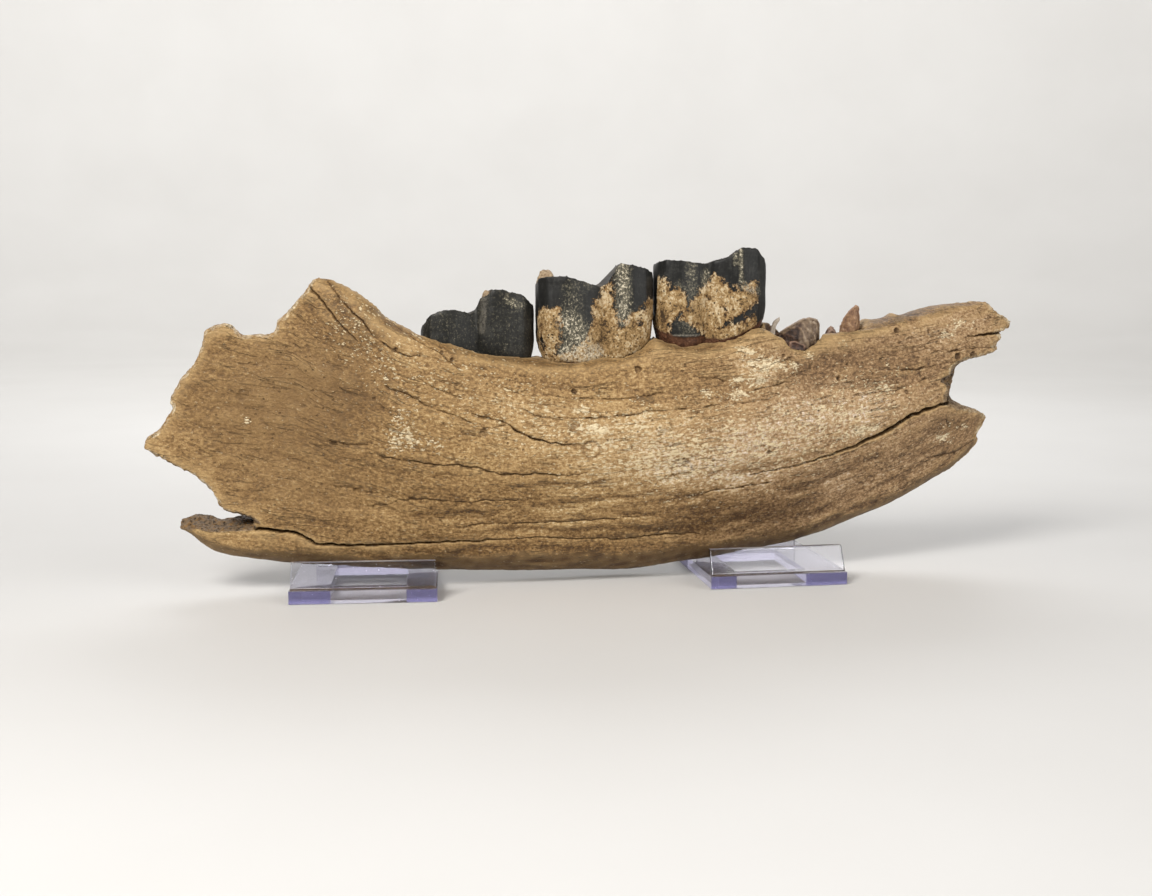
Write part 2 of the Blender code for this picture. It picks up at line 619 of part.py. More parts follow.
def make_base(name, stand, material):
    """The slab: a front bar, two arms of different widths and a rear bar round an open window."""
    half, depth, thickness = STAND["width"] / 2, STAND["depth"], STAND["thickness"]
    wide = stand["wide_side"] > 0
    left_arm = STAND["inner_arm"] if wide else STAND["outer_arm"]
    right_arm = STAND["outer_arm"] if wide else STAND["inner_arm"]
    outline = [(-half, 0), (half, 0), (half, depth), (-half, depth)]
    window = [
        (-half + left_arm, STAND["front_bar"]),
        (half - right_arm, STAND["front_bar"]),
        (half - right_arm, depth - STAND["rear_bar"]),
        (-half + left_arm, depth - STAND["rear_bar"]),
    ]
    mesh = bmesh.new()
    rows = [
        [mesh.verts.new((x, y, z)) for x, y in ring] for ring in (outline, window) for z in (0, thickness)
    ]
    outer_low, outer_high, inner_low, inner_high = rows
    for i in range(4):
        j = (i + 1) % 4
        mesh.faces.new((outer_low[i], outer_low[j], outer_high[j], outer_high[i]))
        mesh.faces.new((inner_low[i], inner_low[j], inner_high[j], inner_high[i]))
        mesh.faces.new((outer_low[i], outer_low[j], inner_low[j], inner_low[i]))
        mesh.faces.new((outer_high[i], outer_high[j], inner_high[j], inner_high[i]))
    bmesh.ops.recalc_face_normals(mesh, faces=mesh.faces)
    rim = [
        edge for edge in mesh.edges
        if edge.calc_face_angle() > SHARP_ANGLE and min(vert.co.z for vert in edge.verts) > 0
    ]
    bmesh.ops.bevel(
        mesh, geom=rim, offset=STAND["edge"], affect="EDGES", segments=1, profile=0.5, material=-1
    )
    set_down(mesh, stand)
    add_object(name + "_base", mesh, material)


def make_lip(name, stand, material):
    """The low front plate, which stands on the slab's front edge and leans back over it."""
    half = STAND["lip_width"] / 2
    foot = STAND["thickness"] + TOUCH_GAP
    mesh = box_mesh((-half, 0, 0), (half, STAND["lip_thickness"], STAND["lip_height"]))
    lean = math.tan(math.radians(STAND["lip_lean"]))
    for vert in mesh.verts:
        vert.co.y += STAND["lip_inset"] + lean * vert.co.z
        vert.co.z += foot
    set_down(mesh, stand)
    add_object(name + "_lip", mesh, material)


def make_back_rest(name, stand, material):
    """The tall plate behind the bone, with sloping shoulders, which keeps the bone upright."""
    mesh, _ = loft([[(x, y, z) for x, z in REST_OUTLINE] for y in (0, STAND["rest_thickness"])])
    lean = math.tan(math.radians(STAND["rest_lean"]))
    for vert in mesh.verts:
        vert.co.y += stand["rest_back"] + lean * vert.co.z
        vert.co.z += STAND["thickness"] + TOUCH_GAP
    set_down(mesh, stand)
    add_object(name + "_back_rest", mesh, material)


def make_stands(material):
    for name, stand in STANDS.items():
        make_base(name, stand, material)
        make_lip(name, stand, material)
        make_back_rest(name, stand, material)


def main():
    clear_scene()
    make_jaw(bone_material())
    tooth = tooth_material()
    for name, shape in TEETH.items():
        make_tooth(name, shape, tooth)
    root = root_material()
    for name, shell in SHELLS.items():
        make_shell(name, shell, root)
    make_stands(clear_material())


main()
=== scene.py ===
import math

import bmesh
import bpy
import numpy as np
from mathutils import Matrix, Vector, noise
from mathutils.bvhtree import BVHTree
from mathutils.kdtree import KDTree


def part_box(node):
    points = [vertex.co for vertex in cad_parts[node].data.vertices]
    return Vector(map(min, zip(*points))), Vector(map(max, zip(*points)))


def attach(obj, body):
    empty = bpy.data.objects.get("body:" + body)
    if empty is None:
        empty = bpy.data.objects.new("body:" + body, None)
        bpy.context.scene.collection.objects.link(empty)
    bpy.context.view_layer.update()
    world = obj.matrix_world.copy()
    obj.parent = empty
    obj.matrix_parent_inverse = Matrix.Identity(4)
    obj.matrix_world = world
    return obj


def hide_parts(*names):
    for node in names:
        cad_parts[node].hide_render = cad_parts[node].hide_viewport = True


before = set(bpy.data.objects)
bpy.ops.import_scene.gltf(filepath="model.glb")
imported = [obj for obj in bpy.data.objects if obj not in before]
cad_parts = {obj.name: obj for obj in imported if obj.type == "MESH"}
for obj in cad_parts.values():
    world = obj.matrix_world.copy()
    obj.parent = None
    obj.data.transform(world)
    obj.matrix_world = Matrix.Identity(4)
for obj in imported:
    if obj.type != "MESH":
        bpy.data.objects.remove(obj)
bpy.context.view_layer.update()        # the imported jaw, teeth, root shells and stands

mm = 0.001        # all sizes below are in millimetres
farAway = 1e6     # the gap of a point that is near nothing
boxMargin = 0.02  # how far each skin stays inside the box of its CAD node


def smoothStep(low, high, value):
    share = np.clip((value - low) / (high - low), 0, 1)
    return share * share * (3 - 2 * share)


def fade(low, high, value):  # 1 below low, 0 above high
    return 1 - smoothStep(low, high, value)


def bell(offset):  # 1 in the middle, near 0 from 2 on
    return np.exp(-(offset**2))


def lineAt(table, along):  # the height of a line of (along, up)
    return np.interp(along, *zip(*table))


def readList(items, field, width, kind=np.float32):
    flat = np.empty(len(items) * width, kind)
    items.foreach_get(field, flat)
    return flat.reshape(-1, width)


def readPoints(mesh):
    return readList(mesh.vertices, "co", 3).astype(float) / mm


def readNormals(mesh):
    return readList(mesh.vertices, "normal", 3).astype(float)


def readEdges(mesh):
    return readList(mesh.edges, "vertices", 2, np.int32)


def writePoints(mesh, points):
    mesh.vertices.foreach_set("co", (points * mm).astype(np.float32).ravel())
    mesh.update()


def storeValue(mesh, name, values):  # a number or a place per vertex, which a material reads
    kind, field = ("FLOAT", "value") if values.ndim == 1 else ("FLOAT_VECTOR", "vector")
    layer = mesh.attributes.new(name, kind, "POINT")
    layer.data.foreach_set(field, values.astype(np.float32).ravel())


def swells(points, size, octaves=1, shift=0.0):  # -1 to 1 per point; size is one swell
    places = (points / np.array(size, float) + shift).tolist()
    if octaves == 1:
        return np.array([noise.noise(place) for place in places])
    return np.array([noise.fractal(place, 1.0, 2.0, octaves) for place in places])


def pockets(points, size, shift=0.0):  # how far each point is from the nearest of scattered centres
    places = (points / np.array(size, float) + shift).tolist()
    return np.array([noise.voronoi(place)[0][0] for place in places])


def averaged(values, edges, passes=1):  # each value moves half way to its neighbours' mean
    count = np.maximum(np.bincount(edges.ravel(), minlength=len(values)), 1)
    for _ in range(passes):
        total = np.bincount(edges[:, 0], values[edges[:, 1]], len(values))
        total += np.bincount(edges[:, 1], values[edges[:, 0]], len(values))
        values = 0.5 * values + 0.5 * total / count
    return values


def relaxed(points, edges, weight, passes):  # evens the skin where weight is 1
    points = points.copy()
    for _ in range(passes):
        for axis in range(3):
            calm = averaged(points[:, axis], edges)
            points[:, axis] += weight * (calm - points[:, axis])
    return points


def nearPath(flat, path, reach):  # distance to a line of points, share along it, nearest place on it
    path = np.array(path, float)
    distance = np.full(len(flat), farAway)
    share = np.zeros(len(flat))
    foot = np.zeros((len(flat), 2))
    low, high = path.min(0) - reach, path.max(0) + reach
    near = np.where(((flat > low) & (flat < high)).all(1))[0]
    if not len(near):
        return distance, share, foot
    points = flat[near]
    steps = np.diff(path, axis=0)
    lengths = np.maximum(np.linalg.norm(steps, axis=1), 1e-9)
    run = np.r_[0, np.cumsum(lengths)]
    best = np.full(len(points), farAway)
    for i, (start, step, length) in enumerate(zip(path, steps, lengths)):
        along = np.clip(((points - start) @ step) / length**2, 0, 1)
        place = start + along[:, None] * step
        gap = np.linalg.norm(points - place, axis=1)
        closer = gap < best
        best[closer] = gap[closer]
        share[near[closer]] = (run[i] + along[closer] * length) / run[-1]
        foot[near[closer]] = place[closer]
    distance[near] = best
    return distance, share, foot


def gapTo(flat, path, reach):
    return nearPath(flat, path, reach)[0]


def roundGap(flat, along, up):  # distance to one place
    return np.hypot(flat[:, 0] - along, flat[:, 1] - up)


def depthInside(flat, outline):  # millimetres inside an outline, negative outside it
    outline = np.array(outline, float)
    closed = np.vstack([outline, outline[:1]])
    gap = gapTo(flat, closed, 400)
    crossings = np.zeros(len(flat), int)
    for (x0, y0), (x1, y1) in zip(closed, closed[1:]):
        if y0 == y1:
            continue
        spans = (y0 > flat[:, 1]) != (y1 > flat[:, 1])
        crossings += spans & (flat[:, 0] < x0 + (flat[:, 1] - y0) * (x1 - x0) / (y1 - y0))
    return np.where(crossings % 2 == 1, gap, -gap)


def wandering(path, step, sway, shift):  # the same line with the small steps of a real crack
    path = np.array(path, float)
    run = np.r_[0, np.cumsum(np.linalg.norm(np.diff(path, axis=0), axis=1))]
    places = np.linspace(0, run[-1], max(3, int(run[-1] / step) + 1))
    fine = np.c_[np.interp(places, run, path[:, 0]), np.interp(places, run, path[:, 1])]
    direction = np.gradient(fine, axis=0)
    direction /= np.linalg.norm(direction, axis=1)[:, None]
    sideways = np.c_[-direction[:, 1], direction[:, 0]]
    wander = np.array([noise.noise((place / (2.3 * step), shift, 0.5)) for place in places])
    return fine + sway * sideways * wander[:, None]


def newPiece(name, shape, *materials):  # a bmesh becomes an object at the origin
    mesh = bpy.data.meshes.new(name)
    shape.to_mesh(mesh)
    shape.free()
    piece = bpy.data.objects.new(name, mesh)
    bpy.context.scene.collection.objects.link(piece)
    for material in materials:
        mesh.materials.append(material)
    return piece


def settle(piece):  # the modifiers' result becomes the mesh itself
    graph = bpy.context.evaluated_depsgraph_get()
    finished = bpy.data.meshes.new_from_object(piece.evaluated_get(graph), depsgraph=graph)
    before = piece.data
    piece.modifiers.clear()
    piece.data = finished
    finished.name = piece.name
    bpy.data.meshes.remove(before)


def mergedCopy(nodeName):  # a CAD node's loose triangles as one closed bmesh, in metres
    shape = bmesh.new()
    shape.from_mesh(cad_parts[nodeName].data)
    bmesh.ops.remove_doubles(shape, verts=shape.verts, dist=0.001 * mm)
    return shape


def evenSkin(nodeName, pieceName, voxel):  # a copy of a CAD node with an even, fine mesh
    piece = newPiece(pieceName, mergedCopy(nodeName))
    skin = piece.modifiers.new("evenSkin", "REMESH")
    skin.mode = "VOXEL"
    skin.voxel_size = voxel * mm
    settle(piece)
    piece.data.materials.clear()
    return piece


def boxOf(nodeName):  # the two corners of a CAD node
    return [np.array(corner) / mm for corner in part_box(nodeName)]


def sharpPlaces(nodeName, angle, step):  # points along a CAD node's sharp edges
    shape = mergedCopy(nodeName)
    places = []
    for edge in shape.edges:
        if len(edge.link_faces) == 2 and edge.calc_face_angle() > math.radians(angle):
            start, end = edge.verts[0].co / mm, edge.verts[1].co / mm
            count = max(1, int((end - start).length / step))
            places += [start.lerp(end, i / count) for i in range(count + 1)]
    shape.free()
    tree = KDTree(len(places))
    for i, place in enumerate(places):
        tree.insert(place, i)
    tree.balance()
    return tree


def distanceTo(tree, points):
    return np.array([tree.find(point)[2] for point in points.tolist()])


def splitWithin(mesh, chosen):  # halves every edge whose two ends are both chosen
    shape = bmesh.new()
    shape.from_mesh(mesh)
    edges = [edge for edge in shape.edges if chosen[edge.verts[0].index] and chosen[edge.verts[1].index]]
    bmesh.ops.subdivide_edges(shape, edges=edges, cuts=1, use_grid_fill=True)
    shape.to_mesh(mesh)
    shape.free()
    mesh.update()


def finishPiece(piece, node):
    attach(piece, "root")
    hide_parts(node)
    print(piece.name, "faces", len(piece.data.polygons))


def dressSkin(piece, node, material, values):
    for name, value in values.items():
        storeValue(piece.data, name, value)
    piece.data.materials.append(material)
    piece.data.shade_smooth()
    finishPiece(piece, node)


# Node helpers. Inputs take plain values, or other nodes' outputs to link.
def isLink(value):
    return isinstance(value, bpy.types.NodeSocket)


def wire(tree, node, inputs):
    for key, value in inputs.items():
        if isLink(value):
            tree.links.new(value, node.inputs[key])
        else:
            node.inputs[key].default_value = value


def addNode(tree, kind, inputs, **settings):
    node = tree.nodes.new("ShaderNode" + kind)
    for name, value in settings.items():
        setattr(node, name, value)
    wire(tree, node, inputs)
    return node


def startMaterial(name):
    material = bpy.data.materials.new(name)
    material.use_nodes = True
    tree = material.node_tree
    place = addNode(tree, "TexCoord", {}).outputs["Object"]
    return material, tree, place, tree.nodes["Principled BSDF"]


def mark(tree, name, output="Fac"):  # a value stored on the piece's own vertices
    return addNode(tree, "Attribute", {}, attribute_name=name).outputs[output]


def stretched(tree, place, size, turn, shift):  # size is one swell in mm on each axis
    scale = [1 / (each * mm) for each in size]
    inputs = {"Vector": place, "Scale": scale, "Rotation": [math.radians(each) for each in turn], "Location": shift}
    return addNode(tree, "Mapping", inputs).outputs["Vector"]


def cloud(tree, place, size, detail, roughness, distortion=0.0, turn=(0, 0, 0), shift=(0, 0, 0)):
    inputs = {"Vector": stretched(tree, place, size, turn, shift), "Scale": 1.0, "Detail": detail}
    inputs |= {"Roughness": roughness, "Distortion": distortion}
    return addNode(tree, "TexNoise", inputs).outputs["Fac"]


def dots(tree, place, size, shift=(0, 0, 0)):  # distance to the nearest of scattered centres
    inputs = {"Vector": stretched(tree, place, size, (0, 0, 0), shift), "Scale": 1.0}
    return addNode(tree, "TexVoronoi", inputs).outputs["Distance"]


def reach(tree, value, low, high, start=0.0, end=1.0):
    inputs = {"Value": value, "From Min": low, "From Max": high, "To Min": start, "To Max": end}
    return addNode(tree, "MapRange", inputs, interpolation_type="SMOOTHSTEP").outputs["Result"]


def sums(tree, operation, *values):
    return addNode(tree, "Math", dict(enumerate(values)), operation=operation).outputs[0]


def times(tree, first, second):
    return sums(tree, "MULTIPLY", first, second)


def weighted(tree, total, *parts):  # the total plus each value times its weight
    for value, weight in parts:
        total = sums(tree, "MULTIPLY_ADD", value, weight, total)
    return total


def colourMix(tree, share, first, second, blend="MIX"):
    colours = [value if isLink(value) else (*value, 1) for value in (first, second)]
    inputs = {0: share, 6: colours[0], 7: colours[1]}
    return addNode(tree, "Mix", inputs, data_type="RGBA", blend_type=blend).outputs[2]


def tinted(tree, colour, share, strength, tint):
    return colourMix(tree, times(tree, share, strength), colour, tint)


def colourRamp(tree, value, stops):
    node = addNode(tree, "ValToRGB", {0: value})
    ramp = node.color_ramp
    while len(ramp.elements) < len(stops):
        ramp.elements.new(0.5)
    for element, (position, colour) in zip(ramp.elements, stops):
        element.position = position
        element.color = (*colour, 1)
    return node.outputs["Color"]


def addRelief(tree, shader, layers):  # bump layers: (height, depth in mm, strength)
    normal = None
    for height, depth, strength in layers:
        inputs = {"Height": height, "Distance": depth * mm, "Strength": strength}
        if normal:
            inputs["Normal"] = normal
        normal = addNode(tree, "Bump", inputs).outputs["Normal"]
    wire(tree, shader, {"Normal": normal})


# Colours of this fossil, as linear values.
boneColour = {
    "deep": (0.036, 0.018, 0.007),
    "dark": (0.074, 0.037, 0.012),
    "brown": (0.185, 0.101, 0.034),
    "tan": (0.310, 0.186, 0.071),
    "light": (0.480, 0.322, 0.145),
    "cream": (0.770, 0.650, 0.430),
    "grains": (0.680, 0.560, 0.355),
    "calm": (0.192, 0.111, 0.042),
    "grey": (0.170, 0.118, 0.072),
    "greyDark": (0.056, 0.036, 0.021),
    "edge": (0.430, 0.320, 0.195),
    # painted shade in the sockets
    "socketShade": (0.020, 0.009, 0.005),
    "socketRed": (0.160, 0.080, 0.050),
    "ashenTint": (0.98, 1.0, 1.26),  # multiplied in towards the front
}

# The jaw's cracks on its outer face: places (along, up), width and depth. A list of widths opens and closes one.
cracks = {
    "frontLong": (
        [(60.5, 46.4), (73.1, 48.2), (87.9, 51), (94.2, 52.9), (106.6, 56), (116.6, 59.9), (126, 63), (135.2, 68.3),
         (142.6, 70.7), (150.2, 73), (157, 74.6), (163, 77)],
        [0.3, 0.5, 0.7, 0.9, 1.2, 1.5, 1.7, 1.9, 1.9, 1.7, 1.5, 1.6], 4.2),
    "rearSlit": (
        [(-146.5, 27.4), (-141.6, 27.4), (-138.6, 26.4), (-133.9, 26.4), (-127.3, 24.5), (-124.7, 22.3),
         (-122.6, 20.6), (-118.4, 20.5), (-112.3, 20), (-101, 19.5), (-89.4, 19.6), (-78.6, 20.2), (-62.8, 20.4),
         (-50, 20.6), (-43, 20.7)],
        [1.4, 1.4, 1.4, 1.25, 1.15, 1.1, 1, 0.95, 0.9, 0.9, 0.85, 0.85, 0.85, 0.85, 0.8, 0.75, 0.7, 0.55, 0.35], 3.4),
    "bevelFront": (
        [(-114.8, 128.7), (-111.5, 123.7), (-106.2, 117), (-101.2, 113.1), (-98.3, 107.9), (-93.3, 103.5),
         (-88.3, 100.8), (-83.4, 98.6), (-79.2, 99.4)], 0.75, 1.4),
    "bevelRear": (
        [(-122.3, 127), (-118.1, 121.7), (-111.8, 113.4), (-107.4, 108.4), (-103.5, 105)],
        [0.6, 0.75, 0.7, 0.5, 0.3], 1.3),
    "crest": ([(-83.2, 107.3), (-80.4, 105.7), (-75.7, 102.7), (-70.1, 99.6), (-67.9, 97), (-63, 93.9)], 0.5, 0.8),
    "cheekUpper": ([(-80.3, 90.1), (-74.4, 86.5), (-69.2, 84.4), (-61.1, 81.4)], 0.5, 0.8),
    "cheekLower": (
        [(-93.5, 87.9), (-90.7, 85.7), (-84.4, 83.7), (-78.5, 80), (-70.5, 76.5), (-65.3, 74.5), (-55.5, 70.5)],
        0.5, 0.8),
    "split": (
        [(-58.3, 75.6), (-52.6, 73.5), (-47.5, 72.6), (-43.2, 70.9), (-40.8, 68.4), (-38.8, 67.1), (-33.9, 65),
         (-27.2, 62.9), (-14.5, 61.4)], 0.85, 1.6),
    "splitBranch": ([(-50.6, 69.8), (-47, 70.3), (-43.3, 70.1)], 0.5, 0.7),
    "longRear": ([(-119.5, 64.7), (-112.6, 63.9), (-107.9, 62.7), (-100.6, 62.2)], 0.4, 0.7),
    "long": (
        [(-100.7, 59.3), (-95.1, 58.1), (-88.9, 56.5), (-79.7, 55.4), (-73.4, 54.1), (-63.3, 53.8), (-55.6, 52.5),
         (-50.3, 50.8), (-44.9, 49.7), (-29.3, 49.9), (-20.5, 48.8), (-11, 49.5)], 0.62, 1.3),
    "shortRear": ([(-115.9, 45.7), (-109.8, 44.7), (-103.3, 44.1)], 0.35, 0.5),
    "shortRearNext": ([(-102.6, 42.6), (-97.3, 42.4)], 0.35, 0.5),
    "lowRear": (
        [(-101, 37), (-92.1, 37.4), (-88, 39.5), (-76.2, 39.5), (-68.2, 38.4), (-60.3, 37.8), (-52.4, 38.5),
         (-38.4, 38.6)], 0.38, 0.7),
    "lowMiddle": ([(-63.7, 26.8), (-55, 28.2), (-37.9, 27.7), (-21, 28.1), (-4, 28.5), (13.3, 29.2)], 0.35, 0.6),
    "belowTeeth": (
        [(-28, 82.3), (-20.2, 81), (-12.2, 80.5), (2.6, 80.4), (14.5, 81.5), (22.6, 82.9), (33.4, 84.3)], 0.55, 0.9),
    "belowTeethLower": (
        [(-42.1, 77.7), (-36.3, 76), (-31.2, 73.7), (-19.6, 72.9), (-8, 72.7), (-0.5, 73.4), (10.4, 74.1),
         (14.2, 75.3), (22.2, 75.4), (30, 75.9), (36.9, 76.6), (49, 77.4), (58, 78.3), (68, 79.1)], 0.65, 1.1),
    "frontLower": ([(41.1, 39.4), (58.3, 41.2), (71.1, 42.5)], 0.4, 0.7),
    "frontSpur": ([(143.9, 99.1), (147.3, 97.5), (154, 96.8), (168.4, 98.1), (183.3, 98.4)], 0.55, 1),
    "spurGap": ([(187, 104.6), (181, 104.4), (174, 104), (166, 103.4)], [1.5, 1.1, 0.7, 0.3], 2.2),
    "frontShelf": ([(125.1, 89.5), (139.4, 89.6), (149.5, 91.2), (156.1, 92.9)], 0.6, 1),
    "frontFine": ([(139.7, 84.5), (148.7, 86.4)], 0.4, 0.6),
    "frontFineNext": ([(118.6, 79.8), (128.2, 80.8), (134.8, 82.5), (136.7, 83.5)], 0.4, 0.6),
    "underMolar": ([(59, 82.6), (67.4, 84.3), (78.9, 86.2)], 0.5, 0.8),
    "frontMiddle": ([(107.4, 78.2), (121.1, 80.6), (135.4, 82.8)], 0.4, 0.6),
    "lowSpur": ([(149.8, 48.4), (157.4, 49.6), (165.6, 50.5), (169.8, 53.1), (175.3, 56.1)], 0.4, 0.5),
    "lowSpurShort": ([(155.9, 66.1), (158.9, 62.6)], 0.4, 0.4),
    "socketEdge": ([(37, 88.6), (43, 88.2), (49, 87)], 0.45, 0.7),
    "paleLine": ([(59.3, 90.8), (66, 92.3), (72, 94.6), (78.3, 95.8)], 0.5, 0.8),
    "spurTop": ([(146.7, 106.9), (146.5, 104.3)], 0.5, 0.5),
    "rearLine": (
        [(-43.9, 20.7), (-30, 21.1), (-13.6, 20), (-1.1, 19.9), (3.4, 18.8), (11.7, 19.4), (20, 20.4), (31.7, 20.3),
         (41.3, 20.2)], 0.75, 1.5),
}
# Cracks of the inner face, guessed: the same kind of drying splits along the grain.
innerCracks = {
    "innerLong": ([(-112, 92), (-92, 82), (-70, 72), (-44, 66), (-16, 63), (12, 63)], 0.7, 1.4),
    "innerLow": ([(-96, 36), (-70, 33), (-40, 31), (-8, 30), (30, 31.5)], 0.5, 1),
    "innerFront": ([(38, 54), (62, 56), (84, 60), (104, 66)], 0.6, 1.2),
    "innerRear": ([(-168, 66), (-150, 63), (-132, 62)], 0.45, 0.7),
    "innerCrest": ([(20, 86), (44, 87), (66, 90), (84, 92)], 0.45, 0.8),
}

jaw = {
    "voxel": 1.5,
    "sharpAngle": 32,
    "sharpKeep": (0.5, 3.4),  # how near a sharp edge of the CAD the skin is left alone
    "relaxPasses": 12,
    "bands": (1.1, 0.6),  # how far round the marks the mesh is halved, in voxels
    "crackStep": 1.2,
    "crackSway": 0.6,
    "crackSnap": 0.17,  # points this near a crack are moved onto it
    "crackSink": 0.13,  # the edges of a crack sink a little
    "broadSwell": 0.35,
    "fineGrain": 0.11,
    "lumps": 0.15,
    "scarDepth": 0.3,  # thin flakes gone from the skin
    "fullBulge": 0.16,  # a bulge that counts as a whole ridge
    "spongeDepth": 0.7,
    "spongeLumps": 0.45,
    "flakeDepth": 0.9,
    "ringGroove": 0.32,
    "ringSink": 0.25,
    "crestBumps": [(132.2, 1.9, 1.2), (120, 2.4, 1.4)],  # along, width, height
    "socketRim": [(-120, 126), (-80, 108), (-50, 99), (-14, 94), (30, 101), (60, 106), (80, 103), (120, 106)],
    "rearSpurRise": [(-180, 3.6), (-166, 3.6), (-162, 2.2), (-152, 2.8), (-146, 1.2), (-142, 0)],  # of its far rim
    "outerRimRise": [
        (75, 0), (79, -1.8), (83, -1.6), (86, 0), (89, 2.6), (92, 4.8), (96, 6), (100, 6), (104, 4.2), (108, 2.6),
        (113, 2), (120, 1.2), (128, 0),
    ],
    "lowerLine": [
        (-200, 34), (-178, 26), (-165, 16.8), (-150, 13.3), (-112, 8.4), (-74, 5.7), (-16, 3.3), (26, 3.8), (61, 8.2),
        (94, 13.2), (130, 25.2), (158, 37), (200, 76),
    ],
    "upperLine": [
        (-200, 152), (-130, 140), (-119, 131), (-100, 123), (-86, 113.5), (-64, 105), (-37, 99), (-14, 96.5),
        (40, 103), (80, 108), (130, 112), (176, 119), (200, 121),
    ],
    "slant": 0.55,  # the front break lies further forward on the inner side
    "slantFrom": 3.6,
    "rearBreak": [
        (-118.2, 130.5), (-121.4, 129.3), (-123, 126), (-127.3, 121.3), (-130.8, 117.2), (-132.3, 114.6),
        (-135.8, 112.8), (-135.9, 109.4), (-137.3, 107.2), (-142.2, 107), (-144.7, 107.8), (-149, 106.6),
        (-151, 107.6), (-153.7, 111.2), (-156.8, 112.1), (-162.4, 110.1), (-165.2, 108.6), (-165.1, 104.4),
        (-166.7, 100.3), (-168.9, 95.8), (-172.1, 92.1), (-175.2, 88.9), (-177.4, 84.9), (-179.4, 81.5),
        (-177.9, 77.8), (-180.3, 74), (-182.4, 70.4), (-184.5, 68.1), (-189.4, 65.3), (-190.3, 61.7), (-187.5, 59.4),
        (-182.9, 57.3), (-177.4, 53.5), (-171.9, 50.8), (-168.9, 48.6), (-165.5, 45.3), (-163, 41.6), (-160.5, 38.4),
        (-161.6, 36.9), (-157.2, 34.5), (-152.5, 33.2), (-146.8, 31.1), (-143.5, 28.4), (-138.8, 26.4), (-134, 26.3),
        (-126, 23.9), (-134, 24.9), (-139, 25), (-146, 27.3), (-154, 28.2), (-162.5, 27.4), (-170, 28.6),
        (-176.3, 28.1), (-178.6, 25.8), (-178, 22), (-186, 12),
    ],
    "frontBreak": [
        (186, 40), (179.6, 50.5), (178.3, 54.9), (176.3, 56.6), (177.1, 58.3), (179.2, 62.1), (181.3, 65.9),
        (178, 68.9), (173.5, 70.6), (167.2, 72.1), (162.6, 74.2), (162.1, 76.8), (163.8, 79.3), (163.2, 82.7),
        (164.5, 86), (164.8, 89.5), (168.3, 91.9), (175.3, 93.9), (182.4, 95.2), (186.1, 97.1), (183.4, 99.3),
        (187.7, 102.2), (184.6, 105), (190.9, 106.3), (191.3, 109.3), (187.9, 111.9), (183.4, 114.8), (179.7, 118.1),
        (176, 119.6),
    ],
    "chinBreak": [
        (127, 24), (133, 20), (138, 19), (143, 13.5), (150, 13), (156, 9.5), (163, 10), (169, 6), (176, 6.5),
        (184, 3), (190, 3.5), (230, 1),
    ],
    "flake": [(150.5, 84.4), (157, 86.8), (164, 89), (164, 82), (157, 81), (154, 82.6)],
}

# Places on the outer face: (along, up, reach along, reach up, strength).
fleckPlaces = [
    (-85, 73, 8.5, 11, 0.98), (-90, 64, 6, 6, 0.8), (-75, 63, 11, 4.5, 0.95), (-92, 88, 9, 9, 0.55),
    (-80, 93, 8, 4, 0.5), (-13.2, 76, 5, 2.3, 1.7), (-7.1, 68.3, 6, 2.5, 1.8), (14.2, 74.4, 5, 1.6, 1.2),
    (10, 68, 14, 5, 0.5), (-30, 66, 14, 6, 0.5), (54.4, 81.8, 6, 1.8, 1.2), (52.8, 87.3, 4, 2.2, 1.3),
    (40.1, 82, 4.5, 2.6, 1.3), (58.3, 99.6, 6, 2.2, 1.4), (52, 47, 14, 5, 0.55), (66, 94.2, 10, 2.8, 1.2),
    (62.4, 87, 5.5, 3, 1.15), (66, 92, 18, 8, 0.6), (80, 92, 8, 2.4, 0.9), (88.5, 97, 4, 2.2, 1.2),
    (104.1, 101, 3, 2.4, 1.4), (50, 79, 9, 3, 0.8), (123.4, 82.1, 7, 2.2, 1.4), (114.4, 64.4, 8, 2.4, 1.4),
    (107, 61, 8, 2.4, 0.8), (154.5, 104.2, 7, 3.2, 1.25), (163, 109.6, 8, 3.4, 1.2), (155.8, 58.4, 6, 2.4, 1.3),
    (156.8, 64, 6.5, 2.4, 1.2), (167.4, 62.4, 4, 2, 1.2), (158, 56, 6, 3, 0.6), (-110, 118, 8, 9, 0.6),
    (-102, 109, 8, 8, 0.6), (-95, 100, 7, 7, 0.6), (-149, 72.4, 2.4, 2, 1.7), (-150, 86, 10, 6, 0.25),
    (100, 70, 24, 7, 0.45), (60, 58, 30, 8, 0.45), (93, 61, 14, 4, 0.5), (-62, 57, 9, 3, 0.4),
]
speckleBand = {
    "path": [(-98.7, 109.5), (-75, 97), (-54.8, 84), (-30, 71), (-5.7, 62), (36.7, 56), (81.6, 64), (120.8, 76)],
    "halfWidth": 17,
    "strength": ([0, 0.2, 0.4, 0.55, 0.8, 1], [0.45, 0.4, 0.7, 1, 1, 0.6]),  # along its length
}
